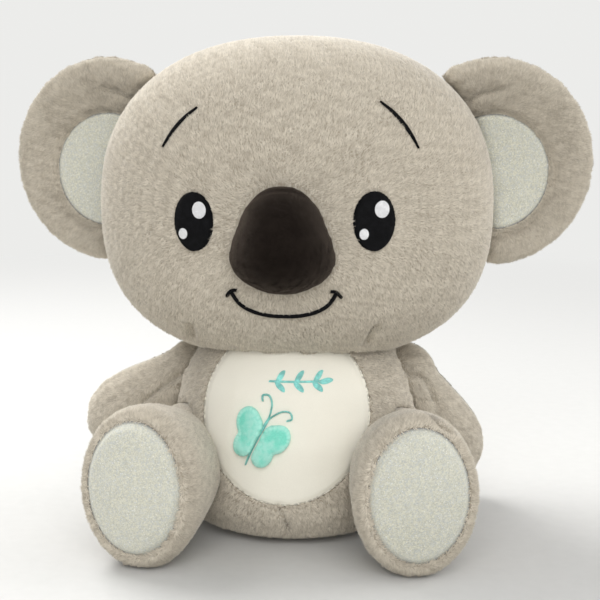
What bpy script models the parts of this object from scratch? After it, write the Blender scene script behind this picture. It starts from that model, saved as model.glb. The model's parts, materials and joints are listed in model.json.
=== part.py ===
"""Plush koala sitting upright: sewn plush skins over loose stuffing.

The neck, shoulders, hips and ear roots are its joints. Metres, +Z up. The koala faces -Y and its own left
side is at +X. The origin is on the flat underside of the body, below the neck.
"""

import math

import bmesh
import bpy
from mathutils import Matrix, Vector

# Fabric and fit
CLEARANCE = 0.0003
PLUSH = 0.0025
SEAT_FLAT = 0.003
FOOT_FLAT = 0.0015
CARVE_CLEARANCE = 0.001
OVERRUN = 0.02

# Body, a turned form that widens low down
BODY_RADIUS = 0.104
BODY_LOW = 0.08
BODY_HIGH = 0.11
BODY_LOW_FULLNESS = 4.5
BODY_HIGH_FULLNESS = 2.0
BELLY_SAG = 0.014
BELLY_SAG_TOP = 0.14

# Head, a broad dome with full cheeks
HEAD_WIDTH = 0.326
HEAD_DEPTH = 0.25
HEAD_CROWN = 0.136
HEAD_CHIN = 0.129
HEAD_ROUND_FULLNESS = 2.15
HEAD_CROWN_FULLNESS = 2.3
HEAD_CHEEK_FULLNESS = 2.6
NECK_SINK = 0.053
NECK_CLEARANCE = 0.0008
NECK_OPENING = 0.03

# Arms, clubs that swell towards the paw
SHOULDER_RADIUS = 0.028
PAW_RADIUS = 0.0365
ARM_REACH = 0.073
SHOULDER_SINK = 0.009
SHOULDER_RISE_SHARE = 0.32
SHOULDER_BACK = 0.012
ARM_LEAN_BACK = {"left": math.radians(17), "right": math.radians(10)}
ARM_SPREAD = {"left": math.radians(28), "right": math.radians(55)}
ARM_SWING = math.radians(45)
ARM_OPENING = 0.012

# Legs, upright oval columns that end in flat soles
HIP_RADIUS = 0.04
HIP_SINK = 0.009
HIP_TURN = math.radians(28.5)
FOOT_HALF_WIDTH = 0.047
FOOT_HALF_HEIGHT = 0.0615
LEG_REACH = 0.128
SOLE_EDGE = 0.02
SOLE_CROWN = 0.004
SOLE_CROWN_HALFWAY = 0.75
LEG_SPLAY = {"left": math.radians(10.5), "right": math.radians(12)}
LEG_LIFT = math.radians(25)
SOLE_HALF_WIDTH = 0.038
SOLE_HALF_HEIGHT = 0.052

# Ears, cupped discs with a thick rim
EAR_RADIUS = 0.085
EAR_RIM = 0.012
EAR_MIDDLE = 0.007
EAR_CUP = 0.018
EAR_OUT = 0.16
EAR_BACK = 0.035
EAR_RISE = 0.032
EAR_YAW = math.radians(14)
EAR_FOLD = math.radians(12)
EAR_AXIS_INSET = 0.016
EAR_AXIS_TILT = math.radians(11)
EAR_PATCH_RADIUS = 0.048
EAR_PATCH_DROP = 0.008
EAR_PATCH_DEPTH = 0.002

# Nose, a stuffed rounded triangle, widest low down
NOSE_WIDTH = 0.0836
NOSE_HEIGHT = 0.0866
NOSE_STAND = 0.046
NOSE_SINK = 0.02
NOSE_DROP = 0.016
NOSE_LOW_SHARE = 1.17
NOSE_TAPER_SHARE = 0.32
NOSE_TAPER_FROM = -0.75
NOSE_TAPER_TO = 0.35

# Stitched face
STITCH = 0.0018
EYE_WIDTH = 0.031
EYE_HEIGHT = 0.045
EYE_OUT = 0.0685
EYE_DROP = 0.004
GLINT_STITCH = 0.001
BIG_GLINT = 0.0116
BIG_GLINT_SHARES = (0.17, 0.2)
SMALL_GLINT = 0.0075
SMALL_GLINT_SHARES = (-0.25, -0.21)
GLINT_TALLNESS = 1.12
BROW_WIDTH = 0.0034
BROW_OUT = 0.0715
BROW_RISE = 0.0855
BROW_SPAN = 0.0295
BROW_FALL = 0.035
MOUTH_HALF_WIDTH = 0.0405
MOUTH_DEPTH = 0.0193
MOUTH_DROP = 0.076
MOUTH_THREAD = 0.003

# Tummy panel and what is sewn on it
TUMMY_RADIUS = 0.0665
TUMMY_RISE = 0.024
WING_PAD = 0.0035
BUTTERFLY_OUT = -0.0165
BUTTERFLY_RISE = 0.015
BUTTERFLY_TILT = math.radians(27)
WING_SPAN = 0.0235
WING_LENGTH = 0.0265
WING_TO_BODY = 0.0021
BUTTERFLY_THREAD = 0.0028
BUTTERFLY_TAIL = 0.0305
BUTTERFLY_FRONT = 0.0125
FEELER_THREAD = 0.002
FEELER_SPAN = 0.0155
FEELER_LENGTH = 0.0145
SPRIG_OUT = 0.011
SPRIG_RISE = 0.052
SPRIG_LENGTH = 0.05
SPRIG_STEM = 0.0016
LEAF_LENGTH = 0.011
LEAF_WIDTH = 0.005
LEAF_PAIRS = 3
LEAF_LEAN = math.radians(48)

# How finely the forms are drawn
HEAD_SUBDIVISIONS = 4
HEAD_INNER_SUBDIVISIONS = 3
BODY_SEGMENTS = 28
BODY_INNER_SEGMENTS = 16
BODY_QUARTER_RINGS = 4
BALL_SEGMENTS = 18
BALL_RINGS = 8
INNER_BALL_SEGMENTS = 12
INNER_BALL_RINGS = 6
ARM_SEGMENTS = 12
LEG_SEGMENTS = 16
LIMB_INNER_SEGMENTS = 10
EAR_SEGMENTS = 22
EAR_INNER_SEGMENTS = 12
LIMB_END_RINGS = 3
LIMB_LENGTH_RINGS = 4
EAR_DISH_RINGS = 3
EAR_RIM_RINGS = 2
NOSE_SUBDIVISIONS = 3
NOSE_INNER_SUBDIVISIONS = 2
ROD_SEGMENTS = 24
PANEL_SEGMENTS = 32
OVAL_POINTS = 24
GLINT_POINTS = 14
LEAF_POINTS = 10
CURVE_PARTS = 3
SHORT_CURVE_PARTS = 2
SWEEP_STEP = math.radians(15)
SHARP_ANGLE = math.radians(50)

# A limb's root, as a share of the ball that it grows out of
ROOT_SHARE = 0.93

# Outlines, as shares of the sizes that they follow: across, then up
BROW_SHARES = ((0.0, 1.0), (0.3, 0.81), (0.61, 0.53), (0.85, 0.24), (1.0, 0.0))
BROW_WIDTH_SHARES = (0.3, 0.85, 1.0, 0.8, 0.35)
SMILE_SHARES = ((0.0, 0.0), (0.3, 0.03), (0.6, 0.19), (0.84, 0.5), (1.0, 1.0))
TICK_SHARES = ((0.885, 1.075), (1.0, 1.03), (1.09, 0.8))
WING_SHARES = (
    (0.0, 0.14), (0.28, 0.36), (0.56, 0.46), (0.83, 0.4), (1.0, 0.19), (1.0, -0.06), (0.86, -0.28),
    (0.68, -0.42), (0.7, -0.62), (0.64, -0.84), (0.46, -1.0), (0.2, -1.0), (0.0, -0.82), (0.0, -0.34),
)
FEELER_SHARES = ((0.0, -0.1), (0.12, 0.32), (0.36, 0.78), (0.72, 1.0), (1.0, 0.78), (0.82, 0.52))

SIDES = {"left": 1, "right": -1}
X_AXIS = Vector((1, 0, 0))
Y_AXIS = Vector((0, 1, 0))
Z_AXIS = Vector((0, 0, 1))
EVEN_SIDES = Matrix.Rotation(math.radians(90), 4, "Z")
BALL_SLACK = 1 / math.cos(math.pi / BALL_SEGMENTS)
HEAD_CENTRE = Vector((0, 0, BODY_LOW + BODY_HIGH + HEAD_CHIN - NECK_SINK))


def remove_startup_objects():
    """Empty the file before the toy is made."""
    for obj in list(bpy.data.objects):
        bpy.data.objects.remove(obj)


def toy_collection(name):
    """Return a new collection of the scene."""
    collection = bpy.data.collections.new(name)
    bpy.context.scene.collection.children.link(collection)
    return collection


remove_startup_objects()
TOY = toy_collection("plush_koala")
BENCH = toy_collection("bench")


def evaluated(mesh, add_modifiers):
    """Return the mesh as its modifiers leave it."""
    holder = bpy.data.objects.new("holder", mesh)
    BENCH.objects.link(holder)
    add_modifiers(holder.modifiers)
    bpy.context.view_layer.update()
    graph = bpy.context.evaluated_depsgraph_get()
    result = bpy.data.meshes.new_from_object(holder.evaluated_get(graph))
    bpy.data.objects.remove(holder)
    return result


def combined(first, second, operation):
    """Join the second mesh to the first, cut it away, or keep what is inside it."""
    tool = bpy.data.objects.new("tool", second)
    BENCH.objects.link(tool)

    def add(modifiers):
        step = modifiers.new("step", "BOOLEAN")
        step.operation = operation
        step.object = tool

    result = evaluated(first, add)
    bpy.data.objects.remove(tool)
    return result


def joined(first, second):
    return combined(first, second, "UNION")


def cut(first, second):
    return combined(first, second, "DIFFERENCE")


def kept_inside(first, second):
    return combined(first, second, "INTERSECT")


def moved(mesh, matrix):
    """Return a copy of the mesh, placed by the matrix."""
    copy = mesh.copy()
    copy.transform(matrix)
    if matrix.determinant() < 0:
        copy.flip_normals()
    return copy


def mesh_from(bm):
    """Turn a bmesh into a mesh whose faces point out."""
    bmesh.ops.recalc_face_normals(bm, faces=bm.faces)
    mesh = bpy.data.meshes.new("form")
    bm.to_mesh(mesh)
    bm.free()
    return mesh


def turned(profile, segments):
    """Turn a closed profile of (radius, height) points about Z."""
    bm = bmesh.new()
    verts = [bm.verts.new((radius, 0, height)) for radius, height in profile]
    for upper, lower in zip(verts, verts[1:]):
        bm.edges.new((upper, lower))
    mesh = bpy.data.meshes.new("profile")
    bm.to_mesh(mesh)
    bm.free()

    def add(modifiers):
        screw = modifiers.new("turn", "SCREW")
        screw.steps = segments
        screw.render_steps = segments
        screw.use_merge_vertices = True
        screw.merge_threshold = 0.00001
        flat = modifiers.new("triangles", "TRIANGULATE")
        flat.quad_method = "FIXED"

    return evaluated(mesh, add)


def ball(radius, centre, fine=True):
    """A sphere whose poles lie along X, the axis that the limbs turn about."""
    segments, rings = (BALL_SEGMENTS, BALL_RINGS) if fine else (INNER_BALL_SEGMENTS, INNER_BALL_RINGS)
    bm = bmesh.new()
    place = Matrix.Translation(centre) @ Matrix.Rotation(math.radians(90), 4, "Y")
    bmesh.ops.create_uvsphere(bm, u_segments=segments, v_segments=rings, radius=radius, matrix=place)
    return mesh_from(bm)


def rod(radius, start, end, segments=ROD_SEGMENTS, oval=1.0):
    """A cylinder from start to end, oval across Z when asked."""
    bm = bmesh.new()
    axis = end - start
    turn = axis.to_track_quat("Z", "Y").to_matrix().to_4x4()
    stretch = Matrix.Diagonal((1, oval, 1, 1))
    place = Matrix.Translation((start + end) / 2) @ turn @ stretch
    bmesh.ops.create_cone(
        bm, cap_ends=True, segments=segments, radius1=radius, radius2=radius, depth=axis.length, matrix=place
    )
    return mesh_from(bm)


def halved(mesh, point, normal):
    """Drop what lies on the normal's side of a plane and close the cut flat."""
    bm = bmesh.new()
    bm.from_mesh(mesh)
    everything = bm.verts[:] + bm.edges[:] + bm.faces[:]
    bmesh.ops.bisect_plane(bm, geom=everything, plane_co=point, plane_no=normal, clear_outer=True)
    rim = [edge for edge in bm.edges if edge.is_boundary]
    bmesh.ops.contextual_create(bm, geom=rim)
    return mesh_from(bm)


def turned_about(mesh, pivot, axis, angle):
    """Return a copy turned about a line through the pivot."""
    back = Matrix.Translation(pivot)
    return moved(mesh, back @ Matrix.Rotation(angle, 4, axis) @ back.inverted())


def carved(mesh, neighbour, pivot, axis, angles):
    """Cut from the mesh all that would meet a neighbour while it turns about the pivot."""
    for angle in angles:
        mesh = cut(mesh, turned_about(neighbour, pivot, axis, -angle))
    return mesh


def steps(start, end, widest=SWEEP_STEP):
    """Even angles from start to end, no further apart than the widest step."""
    count = max(1, math.ceil((end - start) / widest))
    return [start + (end - start) * index / count for index in range(count + 1)]


def smooth_path(points, parts, closed=False):
    """Points along a smooth curve through the given ones."""
    count = len(points)
    spans = count if closed else count - 1
    path = []
    for span in range(spans):
        around = []
        for offset in (-1, 0, 1, 2):
            index = span + offset
            around.append(points[index % count] if closed else points[min(max(index, 0), count - 1)])
        for part in range(parts):
            t = part / parts
            path.append(
                tuple(
                    (2 * b + (c - a) * t + (2 * a - 5 * b + 4 * c - d) * t * t + (3 * b - a - 3 * c + d) * t**3) / 2
                    for a, b, c, d in zip(*around)
                )
            )
    if not closed:
        path.append(tuple(points[-1]))
    return path


def stroke(points, widths):
    """The outline of a line of changing width, drawn in the (across, up) plane."""
    near, far = [], []
    for index, (across, up) in enumerate(points):
        before = points[max(index - 1, 0)]
        after = points[min(index + 1, len(points) - 1)]
        along = Vector((after[0] - before[0], after[1] - before[1])).normalized()
        half = widths[index] / 2
        near.append((across - along.y * half, up + along.x * half))
        far.append((across + along.y * half, up - along.x * half))
    return near + far[::-1]


def prism(outline, centre, tilt=0.0, flip=1):
    """A column along Y under an (across, up) outline, from well in front of the toy to its middle."""
    bm = bmesh.new()
    verts = []
    for across, up in outline:
        x = flip * across * math.cos(tilt) + up * math.sin(tilt)
        z = up * math.cos(tilt) - flip * across * math.sin(tilt)
        verts.append(bm.verts.new((centre[0] + x, -HEAD_DEPTH, centre[1] + z)))
    face = bm.faces.new(verts)
    made = bmesh.ops.extrude_face_region(bm, geom=[face])["geom"]
    moving = [item for item in made if isinstance(item, bmesh.types.BMVert)]
    bmesh.ops.translate(bm, verts=moving, vec=(0, HEAD_DEPTH, 0))
    bmesh.ops.triangulate(bm, faces=[item for item in bm.faces if len(item.verts) > 4])
    return mesh_from(bm)


def oval_outline(width, height, count=OVAL_POINTS):
    angles = [math.tau * index / count for index in range(count)]
    return [(width / 2 * math.cos(angle), height / 2 * math.sin(angle)) for angle in angles]


def smooth_step(share):
    share = min(max(share, 0.0), 1.0)
    return share * share * (3 - 2 * share)


def superquadric(direction, half_width, half_depth, high, low):
    """The point of the head's dome in one direction."""
    across = abs(direction.x / half_width) ** HEAD_ROUND_FULLNESS
    deep = abs(direction.y / half_depth) ** HEAD_ROUND_FULLNESS
    fullness = HEAD_CROWN_FULLNESS if direction.z > 0 else HEAD_CHEEK_FULLNESS
    tall = abs(direction.z / (high if direction.z > 0 else low)) ** fullness
    flat = (across + deep) ** (fullness / HEAD_ROUND_FULLNESS)
    return direction / (flat + tall) ** (1 / fullness)


def head_dome(outset, fineness=HEAD_SUBDIVISIONS):
    """The whole head, swollen by outset, before the neck is cut into it."""
    bm = bmesh.new()
    bmesh.ops.create_icosphere(bm, subdivisions=fineness, radius=1, matrix=EVEN_SIDES)
    for vert in bm.verts:
        vert.co = HEAD_CENTRE + superquadric(
            vert.co, HEAD_WIDTH / 2 + outset, HEAD_DEPTH / 2 + outset, HEAD_CROWN + outset, HEAD_CHIN + outset
        )
    return mesh_from(bm)


def body_radius_at(height):
    """How far the body reaches from the middle at one height."""
    rise = height - BODY_LOW
    reach, fullness = (BODY_HIGH, BODY_HIGH_FULLNESS) if rise > 0 else (BODY_LOW, BODY_LOW_FULLNESS)
    return BODY_RADIUS * (1 - abs(rise / reach) ** fullness) ** (1 / fullness)


def body_barrel(outset, segments=BODY_SEGMENTS):
    """The whole body, swollen by outset, before sockets and seat are cut."""
    quarters = (
        (math.radians(90), BODY_HIGH + outset, BODY_HIGH_FULLNESS),
        (0.0, BODY_LOW + SEAT_FLAT + outset, BODY_LOW_FULLNESS),
    )
    profile = []
    for start, reach, fullness in quarters:
        for ring in range(BODY_QUARTER_RINGS):
            angle = start - math.radians(90) * ring / BODY_QUARTER_RINGS
            radius = (BODY_RADIUS + outset) * abs(math.cos(angle)) ** (2 / fullness)
            rise = math.copysign(reach * abs(math.sin(angle)) ** (2 / fullness), angle)
            profile.append((0.0 if angle == math.radians(90) else radius, BODY_LOW + rise))
    profile.append((0.0, -SEAT_FLAT - outset))
    barrel = turned(profile, segments)
    for vert in barrel.vertices:
        vert.co.y -= BELLY_SAG * smooth_step((BELLY_SAG_TOP - vert.co.z) / BELLY_SAG_TOP)
    return barrel


def limb_profile(radii, length, inset):
    """A round-ended club from (0, radius) down to its far end."""
    near, far = radii[0] * ROOT_SHARE - inset, radii[1] - inset
    points = []
    for ring in range(LIMB_END_RINGS):
        angle = math.radians(90) * (1 - ring / LIMB_END_RINGS)
        points.append((near * math.cos(angle) if ring else 0.0, near * math.sin(angle)))
    for ring in range(LIMB_LENGTH_RINGS + 1):
        share = ring / LIMB_LENGTH_RINGS
        points.append((near + (far - near) * smooth_step(share), -length * share))
    for ring in range(1, LIMB_END_RINGS + 1):
        angle = math.radians(90) * ring / LIMB_END_RINGS
        points.append((far * math.cos(angle) if ring < LIMB_END_RINGS else 0.0, -length - far * math.sin(angle)))
    return points


def shoulder_centre(side):
    height = BODY_LOW + SHOULDER_RISE_SHARE * BODY_HIGH
    return Vector((SIDES[side] * (body_radius_at(height) - SHOULDER_SINK), SHOULDER_BACK, height))


def hip_centre(side):
    out = body_radius_at(FOOT_HALF_HEIGHT) - HIP_SINK
    return Vector((SIDES[side] * out * math.cos(HIP_TURN), -out * math.sin(HIP_TURN), FOOT_HALF_HEIGHT))


def arm_place(side):
    """Turn the arm from straight down to its rest pose and set it at the shoulder."""
    spread = Matrix.Rotation(-SIDES[side] * ARM_SPREAD[side], 4, "Y")
    lean = Matrix.Rotation(ARM_LEAN_BACK[side], 4, "X")
    return Matrix.Translation(shoulder_centre(side)) @ lean @ spread


def limb_neighbour(inset):
    """The body as the limbs are trimmed by it, coarser but no smaller for their hidden layers."""
    if inset == 0.0:
        return body_barrel(CARVE_CLEARANCE)
    slack = BODY_RADIUS * (1 / math.cos(math.pi / BODY_INNER_SEGMENTS) - 1)
    return body_barrel(CARVE_CLEARANCE + inset + slack, BODY_INNER_SEGMENTS)


def arm_form(side, inset, segments):
    """One arm, trimmed clear of the body through its whole swing, with its shoulder ball."""
    centre = shoulder_centre(side)
    arm = turned(limb_profile((SHOULDER_RADIUS, PAW_RADIUS), ARM_REACH, inset), segments)
    arm = moved(arm, arm_place(side))
    neighbour = limb_neighbour(inset)
    arm = carved(arm, neighbour, centre, X_AXIS, steps(0.0, ARM_SWING))
    return joined(arm, ball(SHOULDER_RADIUS - inset, centre, inset == 0.0))


def leg_profile(inset):
    """Half the leg's side view: hip end, growing foot, rounded edge, and the crowned sole."""
    hip = HIP_RADIUS * ROOT_SHARE - inset
    foot = FOOT_HALF_WIDTH - inset
    edge = SOLE_EDGE - inset
    points = []
    for ring in range(LIMB_END_RINGS):
        angle = math.radians(90) * (1 - ring / LIMB_END_RINGS)
        points.append((hip * math.cos(angle) if ring else 0.0, hip * math.sin(angle)))
    straight = LEG_REACH - SOLE_EDGE
    for ring in range(LIMB_LENGTH_RINGS + 1):
        share = ring / LIMB_LENGTH_RINGS
        points.append((hip + (foot - hip) * smooth_step(share), -straight * share))
    for ring in range(1, LIMB_END_RINGS + 1):
        angle = math.radians(90) * ring / LIMB_END_RINGS
        points.append((foot - edge + edge * math.cos(angle), -straight - edge * math.sin(angle)))
    points.append(((foot - edge) / 2, -straight - edge - SOLE_CROWN * SOLE_CROWN_HALFWAY))
    points.append((0.0, -straight - edge - SOLE_CROWN))
    return points


def leg_place(side):
    """Lay the leg forward from its hip, splayed to its own side."""
    splay = Matrix.Rotation(SIDES[side] * LEG_SPLAY[side], 4, "Z")
    forward = Matrix.Rotation(-math.radians(90), 4, "X")
    return Matrix.Translation(hip_centre(side)) @ splay @ forward


def leg_form(side, inset, segments):
    """One leg, taller than wide at the foot, pressed flat by the seat, with its hip ball."""
    centre = hip_centre(side)
    leg = turned(leg_profile(inset), segments)
    full_height = (FOOT_HALF_HEIGHT + FOOT_FLAT - inset) / (FOOT_HALF_WIDTH - inset)
    for vert in leg.vertices:
        vert.co.y *= 1 + (full_height - 1) * smooth_step(-vert.co.z / (LEG_REACH - SOLE_EDGE))
    leg = moved(leg, leg_place(side))
    neighbour = limb_neighbour(inset)
    leg = carved(leg, neighbour, centre, -X_AXIS, steps(0.0, LEG_LIFT))
    leg = joined(leg, ball(HIP_RADIUS - inset, centre, inset == 0.0))
    return halved(leg, Vector((0, 0, inset)), -Z_AXIS)


def sole_column(side, gap):
    """The oval that the sole is cut by, along the leg."""
    place = leg_place(side)
    start = place @ Vector((0, 0, -LEG_REACH + SOLE_EDGE / 2))
    end = place @ Vector((0, 0, -LEG_REACH - OVERRUN))
    half_width, half_height = SOLE_HALF_WIDTH + gap, SOLE_HALF_HEIGHT + gap
    return rod(half_width, start, end, oval=half_height / half_width)


def seated_barrel(inset, segments):
    """The body shrunk by inset and pressed flat below, before the sockets are cut."""
    return halved(body_barrel(-inset, segments), Vector((0, 0, inset)), -Z_AXIS)


def socketed(body, gap):
    """The body with a round socket for each limb."""
    for side in SIDES:
        body = cut(body, ball(SHOULDER_RADIUS * BALL_SLACK + gap, shoulder_centre(side)))
        body = cut(body, ball(HIP_RADIUS * BALL_SLACK + gap, hip_centre(side)))
    return body


def head_form(inset, fineness):
    """The head with the hollow that sits on the body."""
    return cut(head_dome(-inset, fineness), body_barrel(NECK_CLEARANCE + inset))


def ear_profile(inset):
    """Half the ear's side view, from the middle of its front, round the rim, to the middle of its back."""
    rim_centre = EAR_RADIUS - EAR_RIM

    def middle(radius):
        return EAR_CUP * (radius / EAR_RADIUS) ** 2

    def half_thickness(radius):
        return EAR_MIDDLE + (EAR_RIM - EAR_MIDDLE) * smooth_step(radius / rim_centre) - inset

    radii = [rim_centre * ring / EAR_DISH_RINGS for ring in range(EAR_DISH_RINGS + 1)]
    front = [(radius, middle(radius) + half_thickness(radius)) for radius in radii]
    rim = []
    for ring in range(1, 2 * EAR_RIM_RINGS):
        angle = math.radians(90) * (1 - ring / EAR_RIM_RINGS)
        rim.append(
            (rim_centre + (EAR_RIM - inset) * math.cos(angle), middle(rim_centre) + (EAR_RIM - inset) * math.sin(angle))
        )
    back = [(radius, middle(radius) - half_thickness(radius)) for radius in reversed(radii)]
    return front + rim + back


def ear_centre(side):
    return HEAD_CENTRE + Vector((SIDES[side] * EAR_OUT, EAR_BACK, EAR_RISE))


def ear_place(side):
    """Stand the disc up so that its hollow looks forward and a little outward."""
    upright = Matrix.Rotation(math.radians(90), 4, "X")
    yaw = Matrix.Rotation(SIDES[side] * EAR_YAW, 4, "Z")
    return Matrix.Translation(ear_centre(side)) @ yaw @ upright


def ear_axis(side):
    """The line that an ear folds about: a point on it and its direction."""
    point = ear_centre(side) - Vector((SIDES[side] * EAR_AXIS_INSET, 0, 0))
    direction = Vector((-SIDES[side] * math.sin(EAR_AXIS_TILT), 0, math.cos(EAR_AXIS_TILT)))
    return point, direction


def ear_form(side, inset, segments):
    """One ear, its root trimmed to the head through its whole fold."""
    ear = moved(turned(ear_profile(inset), segments), ear_place(side))
    point, direction = ear_axis(side)
    return carved(ear, head_dome(CLEARANCE + inset), point, direction, steps(-EAR_FOLD, EAR_FOLD, EAR_FOLD / 2))


def ear_column(side, gap):
    """The round column that the ear patch is cut by, from the ear's wadding to its front."""
    place = ear_place(side)
    start = place @ Vector((0, -EAR_PATCH_DROP, EAR_MIDDLE - PLUSH - EAR_PATCH_DEPTH - gap))
    end = place @ Vector((0, -EAR_PATCH_DROP, EAR_CUP + EAR_RIM + OVERRUN))
    return rod(EAR_PATCH_RADIUS + gap, start, end)


def nose_egg(inset, fineness):
    """The nose, egg shaped and widest low down, reaching back into the face."""
    bm = bmesh.new()
    bmesh.ops.create_icosphere(bm, subdivisions=fineness, radius=1, matrix=EVEN_SIDES)
    centre = HEAD_CENTRE + Vector((0, -HEAD_DEPTH / 2 + NOSE_SINK, -NOSE_DROP))
    half_width = NOSE_WIDTH / 2 - inset
    half_height = NOSE_HEIGHT / 2 - inset
    reach = NOSE_STAND + NOSE_SINK - inset
    for vert in bm.verts:
        x, y, z = vert.co
        taper = NOSE_LOW_SHARE - NOSE_TAPER_SHARE * smooth_step((z - NOSE_TAPER_FROM) / (NOSE_TAPER_TO - NOSE_TAPER_FROM))
        vert.co = centre + Vector((x * half_width * taper, y * reach, z * half_height))
    return mesh_from(bm)


def patch_on(surface, outline_mesh, above, thickness):
    """A sewn-on piece that follows a swollen form: surface(outset) gives that form."""
    return cut(kept_inside(outline_mesh, surface(above + thickness)), surface(above))


def material(name, colour, roughness):
    """A Principled material with the fabric's colour."""
    made = bpy.data.materials.new(name)
    made.use_nodes = True
    shader = made.node_tree.nodes["Principled BSDF"]
    shader.inputs["Base Color"].default_value = (*colour, 1)
    shader.inputs["Roughness"].default_value = roughness
    shader.inputs["Metallic"].default_value = 0.0
    return made


MATERIALS = {
    "plush": material("grey_plush", (0.53, 0.49, 0.43), 0.95),
    "silver": material("silver_velour", (0.62, 0.62, 0.58), 0.6),
    "cream": material("cream_velour", (0.85, 0.82, 0.74), 0.85),
    "dark": material("dark_nose_plush", (0.03, 0.022, 0.018), 0.9),
    "black": material("black_thread", (0.012, 0.012, 0.012), 0.5),
    "pale": material("pale_thread", (0.72, 0.73, 0.73), 0.45),
    "mint": material("mint_satin", (0.28, 0.72, 0.6), 0.5),
    "teal": material("teal_thread", (0.12, 0.42, 0.36), 0.5),
    "fibre": material("white_fibre", (0.9, 0.9, 0.88), 1.0),
}


def piece(name, mesh, look):
    """Add one named part of the toy to the scene."""
    mesh.name = name
    mesh.materials.clear()
    mesh.materials.append(MATERIALS[look])
    for polygon in mesh.polygons:
        polygon.material_index = 0
    mesh.shade_smooth()
    mesh.set_sharp_from_angle(angle=SHARP_ANGLE)
    obj = bpy.data.objects.new(name, mesh)
    TOY.objects.link(obj)
    return obj


def make_head():
    skin = cut(head_form(0.0, HEAD_SUBDIVISIONS), head_form(PLUSH, HEAD_INNER_SUBDIVISIONS))
    top = Vector((0, 0, BODY_LOW + BODY_HIGH))
    opening = rod(NECK_OPENING, top - OVERRUN * Z_AXIS, top + (NECK_CLEARANCE + PLUSH + CARVE_CLEARANCE) * Z_AXIS)
    piece("head_skin", cut(skin, opening), "plush")
    piece("head_filling", head_form(PLUSH + CLEARANCE, HEAD_INNER_SUBDIVISIONS), "fibre")


def make_nose():
    face = head_dome(CLEARANCE)
    cover = cut(nose_egg(0.0, NOSE_SUBDIVISIONS), nose_egg(PLUSH, NOSE_INNER_SUBDIVISIONS))
    piece("nose_cover", cut(cover, face), "dark")
    piece("nose_filling", cut(nose_egg(PLUSH + CLEARANCE, NOSE_INNER_SUBDIVISIONS), face), "fibre")


def make_eye(side):
    sign = SIDES[side]
    across, up = sign * EYE_OUT, HEAD_CENTRE.z - EYE_DROP
    eye = prism(oval_outline(EYE_WIDTH, EYE_HEIGHT), (across, up))
    piece(f"{side}_eye", patch_on(head_dome, eye, CLEARANCE, STITCH), "black")
    above = CLEARANCE + STITCH + CLEARANCE
    glints = {"upper": (BIG_GLINT, BIG_GLINT_SHARES), "lower": (SMALL_GLINT, SMALL_GLINT_SHARES)}
    for place, (size, (right, rise)) in glints.items():
        middle = (across + right * EYE_WIDTH, up + rise * EYE_HEIGHT)
        spot = prism(oval_outline(size, size * GLINT_TALLNESS, GLINT_POINTS), middle)
        piece(f"{side}_eye_{place}_glint", patch_on(head_dome, spot, above, GLINT_STITCH), "pale")


def make_brow(side):
    shares = zip(BROW_SHARES, BROW_WIDTH_SHARES)
    points = [(across * BROW_SPAN, up * BROW_FALL, wide * BROW_WIDTH) for (across, up), wide in shares]
    line = smooth_path(points, CURVE_PARTS)
    outline = stroke([(across, up) for across, up, width in line], [width for across, up, width in line])
    flip = SIDES[side]
    start = (flip * BROW_OUT, HEAD_CENTRE.z + BROW_RISE - BROW_FALL)
    brow = prism(outline, start, flip=flip)
    piece(f"{side}_brow", patch_on(head_dome, brow, CLEARANCE, STITCH), "black")


def make_mouth():
    half = [(across * MOUTH_HALF_WIDTH, up * MOUTH_DEPTH) for across, up in SMILE_SHARES]
    whole = [(-across, up) for across, up in half[:0:-1]] + half
    line = smooth_path(whole, CURVE_PARTS)
    bottom = (0, HEAD_CENTRE.z - MOUTH_DROP)
    mouth = prism(stroke(line, [MOUTH_THREAD] * len(line)), bottom)
    tick = smooth_path([(across * MOUTH_HALF_WIDTH, up * MOUTH_DEPTH) for across, up in TICK_SHARES], SHORT_CURVE_PARTS)
    for flip in SIDES.values():
        mouth = joined(mouth, prism(stroke(tick, [MOUTH_THREAD] * len(tick)), bottom, flip=flip))
    piece("mouth_stitching", patch_on(head_dome, mouth, CLEARANCE, STITCH), "black")


def make_body():
    shell = cut(seated_barrel(0.0, BODY_SEGMENTS), seated_barrel(PLUSH, BODY_INNER_SEGMENTS))
    middle = Vector((0, 0, BODY_LOW + TUMMY_RISE))
    front = middle - (BODY_RADIUS + OVERRUN) * Y_AXIS
    panel = kept_inside(shell, rod(TUMMY_RADIUS - CLEARANCE, middle, front, PANEL_SEGMENTS))
    piece("tummy_panel", socketed(panel, CLEARANCE), "cream")
    skin = cut(shell, rod(TUMMY_RADIUS, middle, front, PANEL_SEGMENTS))
    piece("body_skin", socketed(skin, CLEARANCE), "plush")
    filling = seated_barrel(PLUSH + CLEARANCE, BODY_INNER_SEGMENTS)
    piece("body_filling", socketed(filling, CLEARANCE), "fibre")


def make_arm(side):
    skin = cut(arm_form(side, 0.0, ARM_SEGMENTS), arm_form(side, PLUSH, LIMB_INNER_SEGMENTS))
    centre = shoulder_centre(side)
    inward = Vector((-SIDES[side], 0, 0))
    start = centre + inward * (SHOULDER_RADIUS - PLUSH - CARVE_CLEARANCE)
    opening = rod(ARM_OPENING, start, centre + inward * (SHOULDER_RADIUS + OVERRUN))
    piece(f"{side}_arm_skin", cut(skin, opening), "plush")
    piece(f"{side}_arm_filling", arm_form(side, PLUSH + CLEARANCE, LIMB_INNER_SEGMENTS), "fibre")


def make_leg(side):
    shell = cut(leg_form(side, 0.0, LEG_SEGMENTS), leg_form(side, PLUSH, LIMB_INNER_SEGMENTS))
    piece(f"{side}_sole", kept_inside(shell, sole_column(side, -CLEARANCE)), "silver")
    piece(f"{side}_leg_skin", cut(shell, sole_column(side, 0.0)), "plush")
    piece(f"{side}_leg_filling", leg_form(side, PLUSH + CLEARANCE, LIMB_INNER_SEGMENTS), "fibre")


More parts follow.
